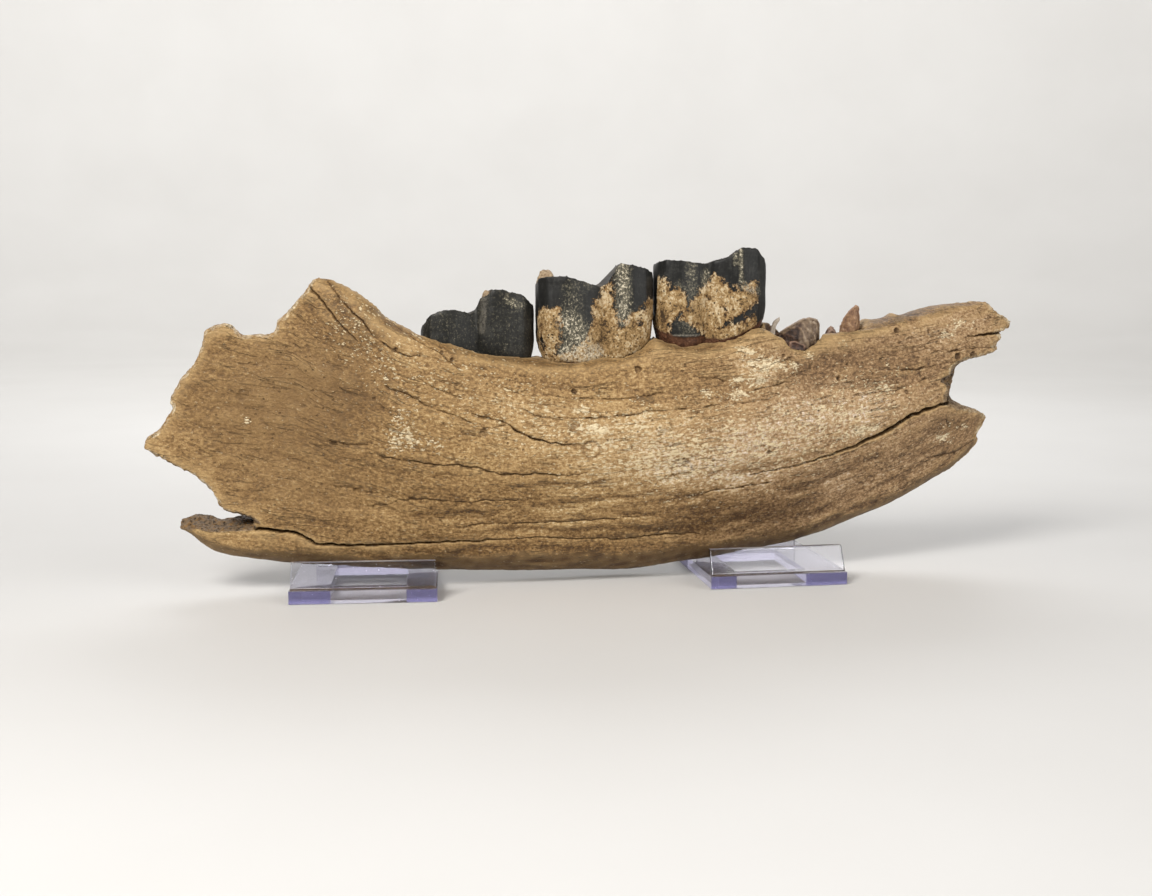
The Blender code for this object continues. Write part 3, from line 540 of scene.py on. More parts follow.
tonePlaces = [  # lighter above 0, darker below
    (-140, 78, 50, 34, -0.5), (-104, 86, 18, 16, -0.45), (-120, 74, 20, 10, -0.3), (-130, 46, 26, 9, -0.2),
    (-152, 98, 12, 10, 0.25), (-176, 66, 12, 7, 0.3), (-100, 112, 18, 11, -1.2), (-40, 90, 28, 9, -0.7),
    (22, 80.5, 14, 2.6, -0.35), (13.5, 80, 4, 1.8, -1.5), (150, 56, 24, 13, 0.5), (18, 46, 34, 11, 0.6),
    (64, 46, 28, 10, 0.9), (-14, 30, 40, 10, 1.25), (100, 40, 26, 10, 0.8), (86, 92, 14, 7, -0.3),
    (62, 91, 13, 7, 0.75), (124, 88, 24, 8, -1), (144, 104, 24, 9, 0.3), (165, 60, 12, 12, -0.2),
    (-80, 70, 16, 14, 0.35), (0, 10, 90, 8, -0.9), (-60, 12, 60, 6, -0.4), (117, 30, 12, 1.6, 0.3),
    (172, 108, 12, 6, 0.1),
]
# where the skin is smooth and even
calmPlaces = [(-140, 76, 38, 30, 0.68), (-118, 92, 22, 14, 0.35), (-122, 43, 36, 13, 0.35)]
# where a broken face is grey
greyPlaces = [(-170, 28, 18, 8, 1.4), (-145, 28, 16, 6, 1.4), (-125, 24, 8, 3, 1), (166, 82, 14, 11, 1.6)]
pits = [  # along, up, radius, depth, darkness
    (-53.4, 67.5, 2.2, 0.5, 0.5), (-15.8, 83.4, 1.3, 0.9, 0.8), (11.2, 92.4, 1.6, 0.9, 0.5),
    (130.5, 106.7, 1.3, 1.3, 1), (101.3, 86.7, 1, 1.1, 1), (134.3, 79.8, 1.1, 0.7, 0.6), (68.1, 56.4, 1.2, 0.6, 0.7),
    (160.3, 94.6, 1.7, 1.2, 1), (168.4, 95.2, 1.6, 1, 0.8), (-97.5, 81.5, 0.9, 0.6, 0.6), (-88.7, 101.5, 1, 0.7, 0.6),
    (106, 92.5, 0.8, 0.6, 0.7), (122, 94, 0.8, 0.5, 0.7), (-66, 97.4, 1, 0.8, 0.8), (-70, 100.6, 0.9, 0.7, 0.7),
    (118, 88, 0.8, 0.5, 0.6), (88, 92, 0.8, 0.6, 0.6), (-150, 83, 3, 0.5, 0.3), (150, 101, 0.8, 0.5, 0.6),
    (75, 97, 0.9, 0.6, 0.6), (-16.4, 69.6, 1.9, 0.4, 0.6),
]
rings = [  # along, up, radius, strength: round scars with a sunk rim
    (-16.4, 69.6, 2.2, 1), (-9.1, 59.6, 3.4, 1), (29.5, 50.1, 4.4, 0.85), (138.1, 36.9, 2.2, 0.6),
    (120, 40.2, 1.8, 0.5), (115.7, 37.6, 1.6, 0.5),
]


def grainOf(points):  # along, up between the jaw's two edges, across
    x, y, z = points.T
    lower = lineAt(jaw["lowerLine"], x)
    return np.c_[x, 100 * (z - lower) / (lineAt(jaw["upperLine"], x) - lower), y]


def brokenShare(points, normals):  # 1 on the broken faces
    x, y, z = points.T
    slanted = np.c_[x - jaw["slant"] * (y - jaw["slantFrom"]), z]
    gaps = [
        gapTo(points[:, [0, 2]], jaw["rearBreak"], 4),
        gapTo(slanted, jaw["frontBreak"], 4),
        gapTo(points[:, :2], jaw["chinBreak"], 4),
    ]
    broken = fade(0.55, 1.5, np.min(gaps, axis=0))
    lowSpur = (x < -126) & (z < 33) & (z > 19)
    top = lowSpur * smoothStep(0.2, 0.5, normals[:, 2]) * fade(-140, -132, x)
    broken *= 1 - (lowSpur & (z < 29.5)) * smoothStep(0.6, 0.9, -normals[:, 1])
    return np.maximum(broken, top)


def spots(flat, places):  # soft round marks added up
    total = np.zeros(len(flat))
    for along, up, reachAlong, reachUp, strength in places:
        gap = ((flat[:, 0] - along) / reachAlong) ** 2 + ((flat[:, 1] - up) / reachUp) ** 2
        total += strength * np.exp(-gap)
    return total


def crackRoutes():  # each crack as a wandering line, its width at each point, its depth and the face it is on
    routes = []
    for i, (name, (path, width, depth)) in enumerate({**cracks, **innerCracks}.items()):
        line = wandering(path, jaw["crackStep"], jaw["crackSway"], i * 7.3)
        along = np.linspace(0, 1, len(line))
        waver = np.array([noise.noise((place / 3.5, i * 3.1, 7.5)) for place in range(len(line))])
        if isinstance(width, list):
            widths = np.interp(along, np.linspace(0, 1, len(width)), width) * (1 + 0.3 * waver)
        else:
            taper = np.sin(np.pi * np.clip(along, 0.05, 0.95)) ** 0.5
            widths = 0.72 * width * taper * np.clip(0.85 + 1.5 * waver, 0.1, 1.5)
        routes.append((line, widths, depth, -1 if name in cracks else 1))
    return routes


def refineJaw(mesh, routes):  # finer and finer beside the cracks, pits and rings, once more on broken faces
    for band in jaw["bands"]:
        points, normals = readPoints(mesh), readNormals(mesh)
        flat = points[:, [0, 2]]
        near = np.full(len(points), farAway)
        for path, widths, _, side in routes:
            gap = gapTo(flat, path, 4) - 0.5 * widths.max() + 0.3
            near = np.minimum(near, np.where(side * normals[:, 1] > 0.05, gap, farAway))
        for along, up, radius, *_ in pits + rings:
            near = np.minimum(near, np.where(normals[:, 1] < 0, roundGap(flat, along, up) - radius, farAway))
        chosen = near < band * jaw["voxel"]
        if band == jaw["bands"][0]:
            chosen |= brokenShare(points, normals) > 0.5
            chosen |= (depthInside(flat, jaw["flake"]) > -1.2) & (normals[:, 1] < 0)
        splitWithin(mesh, chosen)


def jawLift(points, normals, grain, broken):  # the relief along the normals, in mm
    x, y, z = points.T
    lift = jaw["broadSwell"] * swells(grain, (42, 17, 25), 2)
    ridges = swells(grain, (40, 3.2, 14), 2, 3.1) * (1 - 0.6 * smoothStep(80, 120, x))
    lift += ridges * (0.05 + 0.10 * smoothStep(-0.2, 0.5, swells(points, 45, 1, 8.0)))
    lift += jaw["fineGrain"] * swells(grain, (12, 1.9, 6), 2, 5.7)
    lift += jaw["lumps"] * swells(points, 3.4, 2, 1.7)
    lift -= jaw["scarDepth"] * smoothStep(0.18, 0.36, swells(grain, (26, 5, 12), 2, 9.4))
    crest = smoothStep(0.3, 0.8, normals[:, 2]) * smoothStep(98, 102, z) * bell((y - 1) / 5)
    for along, width, height in jaw["crestBumps"]:
        lift += height * bell((x - along) / width) * crest
    lift *= 1 - 0.6 * broken
    lift -= broken * jaw["spongeDepth"] * fade(0.15, 0.62, pockets(points, 2.3, 4.2))
    return lift + broken * jaw["spongeLumps"] * swells(points, 3.0, 2, 6.0)


def cutCracks(points, normals, routes):  # moves the nearest points onto each line; gives lift and darkness
    lift, shade = np.zeros(len(points)), np.zeros(len(points))
    for path, widths, depth, side in routes:
        gap, share, foot = nearPath(points[:, [0, 2]], path, 5)
        gap = np.where(side * normals[:, 1] > 0.05, gap, farAway)
        local = np.interp(share, np.linspace(0, 1, len(widths)), widths)
        strength = np.clip(local / (0.7 * widths.max()), 0, 1)
        wide = smoothStep(0.4, 1.2, widths.max())
        half = 0.5 * local
        snap = gap < jaw["crackSnap"]
        points[snap, 0], points[snap, 2] = foot[snap, 0], foot[snap, 1]
        gap[snap] = 0
        lift -= depth * (0.6 + 0.4 * wide) * strength * fade(0, 1, gap / (half + 0.14))
        lift -= jaw["crackSink"] * bell(gap / (2.2 * local + 0.4)) * strength
        dark = (0.7 + 0.3 * wide) * strength**0.5
        shade = np.maximum(shade, dark * fade(half * 0.4, half + 0.17, gap))
    return lift, shade


def cutMarks(flat, normals):  # pits, rings and the lost flake: lift, darkness and bare bone
    facing = normals[:, 1] < 0
    lift, shade = np.zeros(len(flat)), np.zeros(len(flat))
    for along, up, radius, depth, dark in pits:
        gap = roundGap(flat, along, up) + 0.25 * radius * swells(np.c_[flat, flat[:, :1]], radius)
        inside = fade(radius * 0.55, radius * 1.05, gap) * facing
        lift -= depth * inside
        shade = np.maximum(shade, dark * inside)
    for along, up, radius, strength in rings:
        gap = roundGap(flat, along, up)
        groove = strength * bell((gap - radius) / 0.5) * facing
        lift -= jaw["ringGroove"] * groove
        lift -= jaw["ringSink"] * strength * fade(0.5 * radius, radius, gap) * facing
        # painted shade in the ring groove, heavier on its upper side
        shade = np.maximum(shade, 0.55 * groove * (0.4 + 0.6 * smoothStep(-1.0, 1.0, flat[:, 1] - up)))
    lost = smoothStep(-0.1, 0.35, depthInside(flat, jaw["flake"])) * facing
    return lift - jaw["flakeDepth"] * lost, shade, lost


def toothShells():  # all teeth as one set of points and faces, in millimetres
    corners, faces = [], []
    for name in toothMarks:
        shape = mergedCopy(name)
        start = len(corners)
        corners += [vert.co / mm for vert in shape.verts]
        faces += [[start + vert.index for vert in face.verts] for face in shape.faces]
        shape.free()
    return corners, faces


def emptySocket(points, normals):  # 1 on the floors and walls of the sockets ahead of the molars
    x, y, z = points.T
    along = smoothStep(70.5, 73, x) * fade(117, 119.5, x)
    across = smoothStep(-17, -15, y) * fade(3, 6, y)
    inwards = np.where(y > -8, -normals[:, 1], normals[:, 1])
    low = fade(97.5, 99.5, z) * smoothStep(0.2, 0.6, normals[:, 2])
    return along * across * smoothStep(92, 94, z) * np.maximum(smoothStep(0.2, 0.6, inwards), low)


def makeJaw(material):
    piece = evenSkin("jaw_bone", "jaw_bone_fossil", jaw["voxel"])
    mesh = piece.data
    points = readPoints(mesh)
    sharp = sharpPlaces("jaw_bone", jaw["sharpAngle"], 1.0)
    weight = smoothStep(*jaw["sharpKeep"], distanceTo(sharp, points))
    points = relaxed(points, readEdges(mesh), np.maximum(weight, 0.12), jaw["relaxPasses"])
    x, y, z = points.T
    z += lineAt(jaw["rearSpurRise"], x) * smoothStep(-12, 0, y) * smoothStep(21, 27, z) * (z < 30.5)
    z += lineAt(jaw["outerRimRise"], x) * fade(-12.5, -10.5, y) * smoothStep(84, 98, z)
    writePoints(mesh, points)
    routes = crackRoutes()
    refineJaw(mesh, routes)
    points, normals, edges = readPoints(mesh), readNormals(mesh), readEdges(mesh)
    print("jaw points", len(points))

    flat = points[:, [0, 2]]
    outer = smoothStep(0.0, 0.35, -normals[:, 1])
    broken = averaged(brokenShare(points, normals), edges)
    grain = grainOf(points)
    teeth = BVHTree.FromPolygons(*toothShells())
    room = 12  # how far round a tooth its bone is looked at
    toothGap = np.array([teeth.find_nearest(Vector(place), room)[3] or room for place in points.tolist()])
    calm = smoothStep(0.6, 3.0, toothGap)  # nothing sticks out into a tooth
    lift = jawLift(points, normals, grain, broken)
    crackLift, crackShade = cutCracks(points, normals, routes)
    markLift, pitShade, lost = cutMarks(flat, normals)
    lift += crackLift + markLift
    points += normals * (lift * np.where(lift > 0, calm, 0.35 + 0.65 * calm))[:, None]
    points[:, 0] += broken * 0.45 * swells(points, 5.5, 2, 11.0)
    points[:, 2] += broken * 0.40 * swells(points, 5.5, 2, 17.0)
    low, high = boxOf("jaw_bone")
    points = np.clip(points, low + boxMargin, high - boxMargin)
    writePoints(mesh, points)

    normals = readNormals(mesh)
    bulge = sum((points[:, axis] - averaged(points[:, axis], edges, 6)) * normals[:, axis] for axis in range(3))
    bulge = averaged(bulge, edges, 2) / jaw["fullBulge"]
    brink = 4 * broken * (1 - broken)  # where the skin ends at a broken face
    band, bandShare, _ = nearPath(flat, speckleBand["path"], 60)
    band = bell(band / speckleBand["halfWidth"]) * np.interp(bandShare, *speckleBand["strength"])
    # painted shade: faces looking down, and less so faces looking up, are painted darker through the tone mark
    under = smoothStep(0.2, 0.8, -normals[:, 2]) * (1 - broken)
    above = smoothStep(0.5, 0.9, normals[:, 2]) * (1 - broken)
    belowRim = lineAt(jaw["socketRim"], points[:, 0]) - points[:, 2]
    # painted shade where bone meets a tooth below the socket rim, over the wall's own red-brown
    inSocket = fade(0.5, 2.6, toothGap) * smoothStep(-1.5, 3.5, belowRim)
    paleRing = bell((roundGap(flat, *rings[0][:2]) - 2.8) / 0.6)  # round one dark spot
    calmSkin = spots(flat, calmPlaces) * outer
    dressSkin(piece, "jaw_bone", material, {
        "grain": grain * mm,
        "crack": crackShade,
        "pit": pitShade,
        "broken": np.maximum(broken, lost),
        "greyBreak": np.maximum(np.clip(spots(flat, greyPlaces), 0, 1) * broken, lost),
        "speckle": band * outer,
        # tone: the listed lighter and darker places, minus painted shade on the underside and on upward faces
        "tone": spots(flat, tonePlaces) * outer - 3.2 * under - 0.8 * above,
        "calm": calmSkin,
        "ashen": smoothStep(-10, 110, points[:, 0]),
        "fleck": np.clip(spots(flat, fleckPlaces) + paleRing, 0, 1.8) * outer,
        "socket": np.maximum(inSocket, 0.85 * emptySocket(points, normals)),
        # hollow: painted shade in the recesses of the relief
        "hollow": np.clip(-bulge, 0, 1) * (1 - np.clip(calmSkin, 0, 0.7)),
        # painted highlight on bulges and where the skin ends at a broken face
        "paintedRidgeHighlight": np.clip(np.maximum(bulge, 1.6 * brink * outer), 0, 1.6),
    })


def boneMaterial():
    material, tree, place, shader = startMaterial("fossilBone")
    c = boneColour
    grain, speckleMark, fleckMark = mark(tree, "grain", "Vector"), mark(tree, "speckle"), mark(tree, "fleck")
    crack, broken = mark(tree, "crack"), mark(tree, "broken")
    broad = cloud(tree, place, (30, 30, 22), 4, 0.6)
    streak = cloud(tree, grain, (10, 1.2, 3.0), 4, 0.62, 0.3)
    fibre = cloud(tree, grain, (3.0, 0.8, 1.2), 2, 0.6, 0.2, shift=(7, 3, 1))
    grit = cloud(tree, place, (1.45, 1.25, 1.05), 2, 0.7)
    tone = weighted(
        tree, -0.427, (broad, 0.46), (streak, 0.17), (fibre, 0.18), (grit, 1.02),
        (mark(tree, "tone"), 0.17), (speckleMark, 0.20),
    )
    colour = colourRamp(
        tree, tone,
        [(0.24, c["dark"]), (0.40, c["brown"]), (0.54, c["tan"]), (0.70, c["light"]), (0.90, c["cream"])],
    )
    colour = colourMix(tree, mark(tree, "calm"), colour, c["calm"])
    ashen = weighted(tree, mark(tree, "ashen"), (speckleMark, 0.4))
    colour = colourMix(tree, ashen, colour, c["ashenTint"], "MULTIPLY")
    # granular pale speckle, and ragged cream flecks in their places
    cell = sums(tree, "SUBTRACT", 0.46, dots(tree, place, (1.5, 1.3, 1.0), (1, 7, 3)))
    grains = weighted(tree, cloud(tree, grain, (2.3, 1.15, 1.5), 2, 0.7, shift=(3, 1, 2)), (cell, 0.30))
    patchy = reach(tree, cloud(tree, place, (9, 9, 6), 3, 0.6, shift=(6, 2, 2)), 0.36, 0.60, 0.45, 1.0)
    speckle = times(tree, speckleMark, patchy)
    band = reach(tree, weighted(tree, grains, (speckle, 0.21)), 0.66, 0.73)
    band = times(tree, band, reach(tree, speckle, 0.0, 0.2, 0.3, 1.0))
    colour = tinted(tree, colour, band, 0.88, c["grains"])
    darkGrains = times(tree, reach(tree, grains, 0.42, 0.33), speckle)
    colour = tinted(tree, colour, darkGrains, 0.75, c["brown"])
    crossed = cloud(tree, place, (3.0, 2.2, 1.5), 3, 0.7, 0.3, (0, 32, 0))
    crossedBack = cloud(tree, place, (2.6, 2.2, 1.4), 3, 0.7, 0.3, (0, -38, 0), (5, 2, 8))
    strokes = sums(tree, "MAXIMUM", crossed, crossedBack)
    strokes = reach(tree, weighted(tree, strokes, (cell, 0.15), (fleckMark, 0.19)), 0.74, 0.80)
    strokes = times(tree, strokes, reach(tree, fleckMark, 0.0, 0.25, 0.3, 1.0))
    strokes = times(tree, strokes, reach(tree, grains, 0.36, 0.52, 0.35, 1.0))
    colour = tinted(tree, colour, strokes, 0.9, c["cream"])
    # dark dots, hairlines along the grain
    dotMask = times(tree, reach(tree, dots(tree, place, (3.4, 3.4, 3.0)), 0.19, 0.09), reach(tree, broad, 0.42, 0.6))
    colour = tinted(tree, colour, dotMask, 0.7, c["dark"])
    line = sums(tree, "SUBTRACT", cloud(tree, grain, (30, 3.0, 9), 3, 0.5, 0.2, shift=(2, 9, 4)), 0.5)
    line = reach(tree, sums(tree, "ABSOLUTE", line), 0.013, 0.002)
    patches = cloud(tree, place, (16, 16, 12), 2, 0.5, shift=(9, 9, 9))
    hairline = times(tree, line, reach(tree, patches, 0.42, 0.58))
    colour = tinted(tree, colour, hairline, 0.45, c["dark"])
    # painted shade in hollows, painted highlight on ridges and on the rims of broken faces
    colour = tinted(tree, colour, mark(tree, "hollow"), 0.37, c["dark"])
    colour = tinted(tree, colour, mark(tree, "paintedRidgeHighlight"), 0.34, c["light"])
    # broken faces: pale at the thin edges, grey and spongy where the bone is thick
    pore = dots(tree, place, (1.7, 1.7, 1.5))
    spongeTone = cloud(tree, place, (3, 3, 3), 4, 0.68, shift=(1, 4, 4))
    pale = [(0.30, c["brown"]), (0.42, c["tan"]), (0.54, c["edge"]), (0.74, c["cream"])]
    grey = [(0.34, c["greyDark"]), (0.48, c["grey"]), (0.6, c["brown"]), (0.74, c["tan"])]
    sponge = colourMix(tree, reach(tree, pore, 0.30, 0.12), colourRamp(tree, spongeTone, grey), c["deep"])
    sponge = colourMix(tree, mark(tree, "greyBreak"), colourRamp(tree, spongeTone, pale), sponge)
    bare = reach(tree, weighted(tree, broken, (spongeTone, 1.2)), 1.02, 1.32)
    colour = colourMix(tree, bare, colour, sponge)
    # socket walls and floors: their own red-brown, painted with shade down to near black
    socketColour = colourRamp(tree, streak, [(0.30, c["socketShade"]), (0.66, c["socketRed"])])
    colour = colourMix(tree, mark(tree, "socket"), colour, socketColour)
    # pit: dark pits, and the rings' painted groove shade
    colour = tinted(tree, colour, mark(tree, "pit"), 0.85, c["dark"])
    colour = tinted(tree, colour, crack, 0.92, c["deep"])
    wire(tree, shader, {
        "Base Color": colour,
        "Roughness": weighted(tree, 0.47, (grit, 0.30), (strokes, -0.08)),
        "Specular IOR Level": weighted(tree, 0.32, (crack, -0.3)),
    })
    fibres = weighted(tree, times(tree, streak, 0.7), (fibre, 0.7))
    fine = weighted(tree, grit, (strokes, 0.35), (band, 0.4), (hairline, -1.4), (dotMask, -1.0))
    pores = times(tree, reach(tree, pore, 0.1, 0.5), broken)
    addRelief(tree, shader, [(fibres, 0.45, 0.8), (fine, 0.50, 0.9), (pores, 0.8, 0.8)])
    return material


# The three molars. Outlines of marks are seen from the cheek side: (along, up).
toothMarks = {
    "third_molar": {
        "cement": [],
        "dark": [],
        "flecks": [
            ((-42, 121), (-37, 118), 2, 0.7), ((-44, 117), (-40, 104), 6, 0.14), ((-68, 112), (-63, 108), 7, 0.2),
        ],
        # a pale grey column, partly a painted glossy highlight
        "pale": [((-51.6, 122), (-52.4, 108), 1.3, 0.3)],
        "spots": [],
        "dust": 0.17,
        "rootLine": [(-90, 94), (-20, 94)],
    },
    "second_molar": {
        "cement": [
            [(-29, 115.2), (-27.2, 116.9), (-24.4, 116.6), (-21.8, 117.3), (-21.1, 114.5), (-20.4, 109.6),
             (-21.1, 105.3), (-21.8, 101.1), (-22.9, 94), (-26.1, 94), (-26.5, 103.2), (-28, 108.2), (-29.4, 112.4)],
            [(-2, 126.4), (1.6, 127.8), (1.6, 121.5), (2.7, 115.2), (3.7, 108.2), (0.9, 102.5), (-2.7, 99.7),
             (-6.3, 102.5), (-9.2, 105.3), (-8.5, 108.2), (-5.6, 110.3), (-6, 116.6), (-5.6, 120.1), (-2.7, 121.5)],
            [(2.7, 114.5), (6.6, 111.7), (11, 115.2), (15.3, 118.7), (18.9, 120.8), (21.5, 120.1), (20.6, 114.5),
             (19.5, 108.2), (18.3, 98), (9.5, 92), (3.7, 92), (-5.6, 92), (-15, 92), (-22.2, 92), (-21.5, 97.6),
             (-15.7, 98.3), (-12.1, 101.1), (-8.5, 105.3), (-4.9, 108.2), (-0.6, 109.6)],
        ],
        "dark": [],
        "flecks": [
            ((5.9, 134.9), (6.6, 112.4), 3.4, 0.85), ((-15.1, 125.1), (-14.5, 112), 5, 0.36),
            ((-17, 112), (-12, 104), 6.5, 0.85), ((-17, 99.5), (-5, 98.5), 5, 1),
            ((-8, 127.5), (-2.5, 132), 2.6, 0.5),
        ],
        "pale": [],
        "spots": [(5.2, 110.3, 1.7), (13.1, 111.3, 1.5), (14.9, 117.3, 1.8)],
        "dust": 0.06,
        # below this line a thin band of painted contact shade along the bone
        "rootLine": [(-40, 95.4), (-10, 94.6), (5, 96.4), (14, 99.5), (20, 104), (30, 106)],
    },
    "first_molar": {
        "cement": [
            [(20.3, 129.6), (23.9, 129.6), (25.4, 125.7), (30.4, 124.3), (33.3, 120.1), (32.6, 116.6), (28.2, 113.8),
             (26.1, 111.7), (25.4, 108.2), (24.6, 102.5), (19, 102.5), (18.5, 116.6), (18.5, 123.6)],
            [(46.3, 130.6), (49.1, 128.5), (52, 125), (57.1, 124.3), (62.1, 127.8), (64.3, 126.4), (63.2, 123.6),
             (63.9, 120.8), (59.2, 116.6), (54.2, 113.8), (49.9, 111), (46.3, 107.5), (41.2, 106.8), (35.4, 111),
             (30.4, 113.1), (32.6, 116.6), (35.4, 119.4), (39.8, 123.6), (42.7, 126.4)],
            [(42.7, 106.8), (49.9, 108.5), (57.1, 111), (62.8, 113.8), (64.1, 109.6), (60.1, 103.3), (44.3, 98.5)],
        ],
        "dark": [
            [(26.1, 107.5), (27.5, 112.4), (31.1, 112.7), (34.7, 111.7), (41.2, 107.5), (40.5, 105.7), (28.2, 105.3)],
            [(49.1, 110.3), (55.6, 113.8), (62.1, 116.9), (63.7, 115.5), (59.9, 112), (52, 108.7)],
        ],
        "flecks": [
            ((35.4, 134.3), (36.2, 118), 3, 0.5), ((42.3, 131.3), (42.7, 126), 2.2, 0.75),
            ((56.7, 141.2), (56.8, 128.5), 0.9, 1), ((54.5, 139.8), (54.5, 136), 1.2, 0.7),
            ((58, 126), (64, 124), 2.4, 0.7), ((30, 126.5), (42, 124), 2.6, 0.38), ((34, 114), (34, 110), 5, 0.4),
        ],
        "pale": [((27, 105.7), (40, 105.5), 0.28, 0.8)],
        "spots": [(50, 116, 1.2), (44, 121, 1)],
        "dust": 0.05,
        "rootLine": [
            (18, 111), (23, 108), (28, 105.3), (35, 104.9), (41, 105.5), (44.5, 104), (50, 103.8), (57, 106),
            (63, 109), (70, 113),
        ],
    },
}
tooth = {
    "voxel": 0.62,
    "relaxPasses": 24,
    "innerCement": {"third_molar": 104, "second_molar": 108, "first_molar": 112},
    "cusps": {  # the tan inner cusps: middle, reach, rise
        "third_molar": ((-51.8, 1.0), (4.0, 6.0), 1.0), "second_molar": ((-24.6, 0.5), (5.2, 6.5), 3.3),
    },
    "dip": {"third_molar": (-51.6, 4.0, 1.8)},  # the cheek edge in front of a cusp: along, reach, depth
    # depths of the relief: upright fluting, growth lines, chips in the crust, wear on top, the step to the root
    "broadSwell": 0.4, "fluting": 0.055, "growthLines": 0.05, "chips": 0.35, "wear": 0.15, "rootStep": 0.25,
    "crust": (0.16, 0.20),  # its thickness, and how much that varies
}


def strokes(flat, places, inner, outer):  # short thick marks: start, end, radius, strength
    total = np.zeros(len(flat))
    for start, end, radius, strength in places:
        gap = gapTo(flat, [start, end], 30)
        total = np.maximum(total, strength * fade(radius * inner, radius * outer, gap))
    return total


def cementDepth(flat, marks):  # how far inside the tan cement a point is
    cement = np.full(len(flat), -20.0)
    for outline in marks["cement"]:
        cement = np.maximum(cement, depthInside(flat, outline))
    for outline in marks["dark"]:
        cement = np.minimum(cement, -depthInside(flat, outline))
    for along, up, radius in marks["spots"]:
        cement = np.minimum(cement, roundGap(flat, along, up) - radius)
    return cement


def makeTooth(name, marks, material):
    piece = evenSkin(name, name + "_fossil", tooth["voxel"])
    mesh = piece.data
    points, edges = readPoints(mesh), readEdges(mesh)
    sharp = sharpPlaces(name, 60, 0.7)
    weight = np.maximum(smoothStep(0.3, 2.6, distanceTo(sharp, points)), 0.6)
    points = relaxed(points, edges, weight, tooth["relaxPasses"])
    x, y, z = points.T
    cusp = np.zeros(len(points))
    if name in tooth["cusps"]:
        middle, size, rise = tooth["cusps"][name]
        away = np.linalg.norm((points[:, :2] - middle) / size, axis=1)
        top = z - z[away < 1].max()
        z += rise * fade(0.7, 1.1, away) * smoothStep(-4, -0.5, top)
        cusp = fade(0.9, 1.2, away) * smoothStep(-3.5, -2.0, top)
    if name in tooth["dip"]:
        along, reachAlong, depth = tooth["dip"][name]
        near = np.exp(-(((x - along) / reachAlong) ** 4)) * fade(-7, -4, y)
        z -= depth * near * smoothStep(-6, -1, z - z.max())
    writePoints(mesh, points)
    normals = readNormals(mesh)
    flat = points[:, [0, 2]]
    low, high = boxOf(name)
    outer = smoothStep(-0.1, 0.3, -normals[:, 1])
    innerEdge = tooth["innerCement"][name] - z + 5 * swells(points, (7, 7, 9), 3, 2.0)
    cement = np.clip(outer * cementDepth(flat, marks) + (1 - outer) * innerEdge, -6, 6)
    speck = np.maximum(marks["dust"], strokes(flat, marks["flecks"], 0.2, 1.6)) * outer
    worn = smoothStep(0.55, 0.85, normals[:, 2]) * smoothStep(0.6, 0.75, (z - low[2]) / (high[2] - low[2]))
    rim = lineAt(marks["rootLine"], x) - z + 0.8 * swells(points, 6, 2, 5.0)

    crust = smoothStep(-0.3, 1.0, cement + 1.3 * swells(points, 1.6, 3, 7.0))
    chips = smoothStep(0.30, 0.55, swells(points, (2.4, 2.4, 3.4), 2, 9.0)) * np.maximum(speck, 0.25 * crust)
    lift = tooth["broadSwell"] * swells(points, (9, 9, 16), 2)
    lift += tooth["fluting"] * swells(points, (1.3, 1.3, 16), 2, 4.0) * (1 - crust)
    lift += tooth["growthLines"] * swells(points, (18, 18, 1.7), 1, 6.0) * (1 - crust)
    lift += crust * (tooth["crust"][0] + tooth["crust"][1] * swells(points, 2.1, 3, 3.0))
    lift -= tooth["chips"] * chips
    lift -= tooth["wear"] * worn * smoothStep(-0.1, 0.5, swells(points, (6, 5, 6), 2, 1.0))
    lift -= tooth["rootStep"] * smoothStep(-0.2, 0.4, rim)
    points = np.clip(points + normals * lift[:, None], low + boxMargin, high - boxMargin)
    writePoints(mesh, points)
    dressSkin(piece, name, material, {
        "cement": cement, "speck": speck, "pale": strokes(flat, marks["pale"], 0.5, 1.4), "worn": worn,
        # edge: a painted highlight along the sharp edges
        "rootRimAndContactShade": smoothStep(-0.5, 0.3, rim), "cusp": cusp, "edge": fade(0.3, 0.9, distanceTo(sharp, points)),
    })


toothColour = {
    "black": (0.005, 0.005, 0.005),
    "slate": (0.0085, 0.0085, 0.008),
    "grey": (0.028, 0.0275, 0.025),
    "film": (0.060, 0.058, 0.045),
    "dust": (0.165, 0.147, 0.102),
    "cream": (0.660, 0.590, 0.450),
    # pale columns, partly a painted glossy highlight
    "pale": (0.260, 0.235, 0.190),
    # painted highlight along the sharp edges
    "edge": (0.150, 0.145, 0.130),
    "cement": (0.225, 0.138, 0.056),
    "cementMid": (0.345, 0.228, 0.104),
    "cementLight": (0.560, 0.450, 0.290),
    "cementDark": (0.052, 0.032, 0.016),
    "rust": (0.150, 0.072, 0.026),
    # the root's rim, also painted contact shade on the second molar
    "rootDark": (0.040, 0.016, 0.009),
    "root": (0.100, 0.042, 0.020),
    "rootLight": (0.240, 0.130, 0.080),
    "dentineDark": (0.020, 0.017, 0.014),
    "dentine": (0.075, 0.060, 0.045),
    "cuspDark": (0.200, 0.135, 0.075),
    "cusp": (0.420, 0.320, 0.210),
}


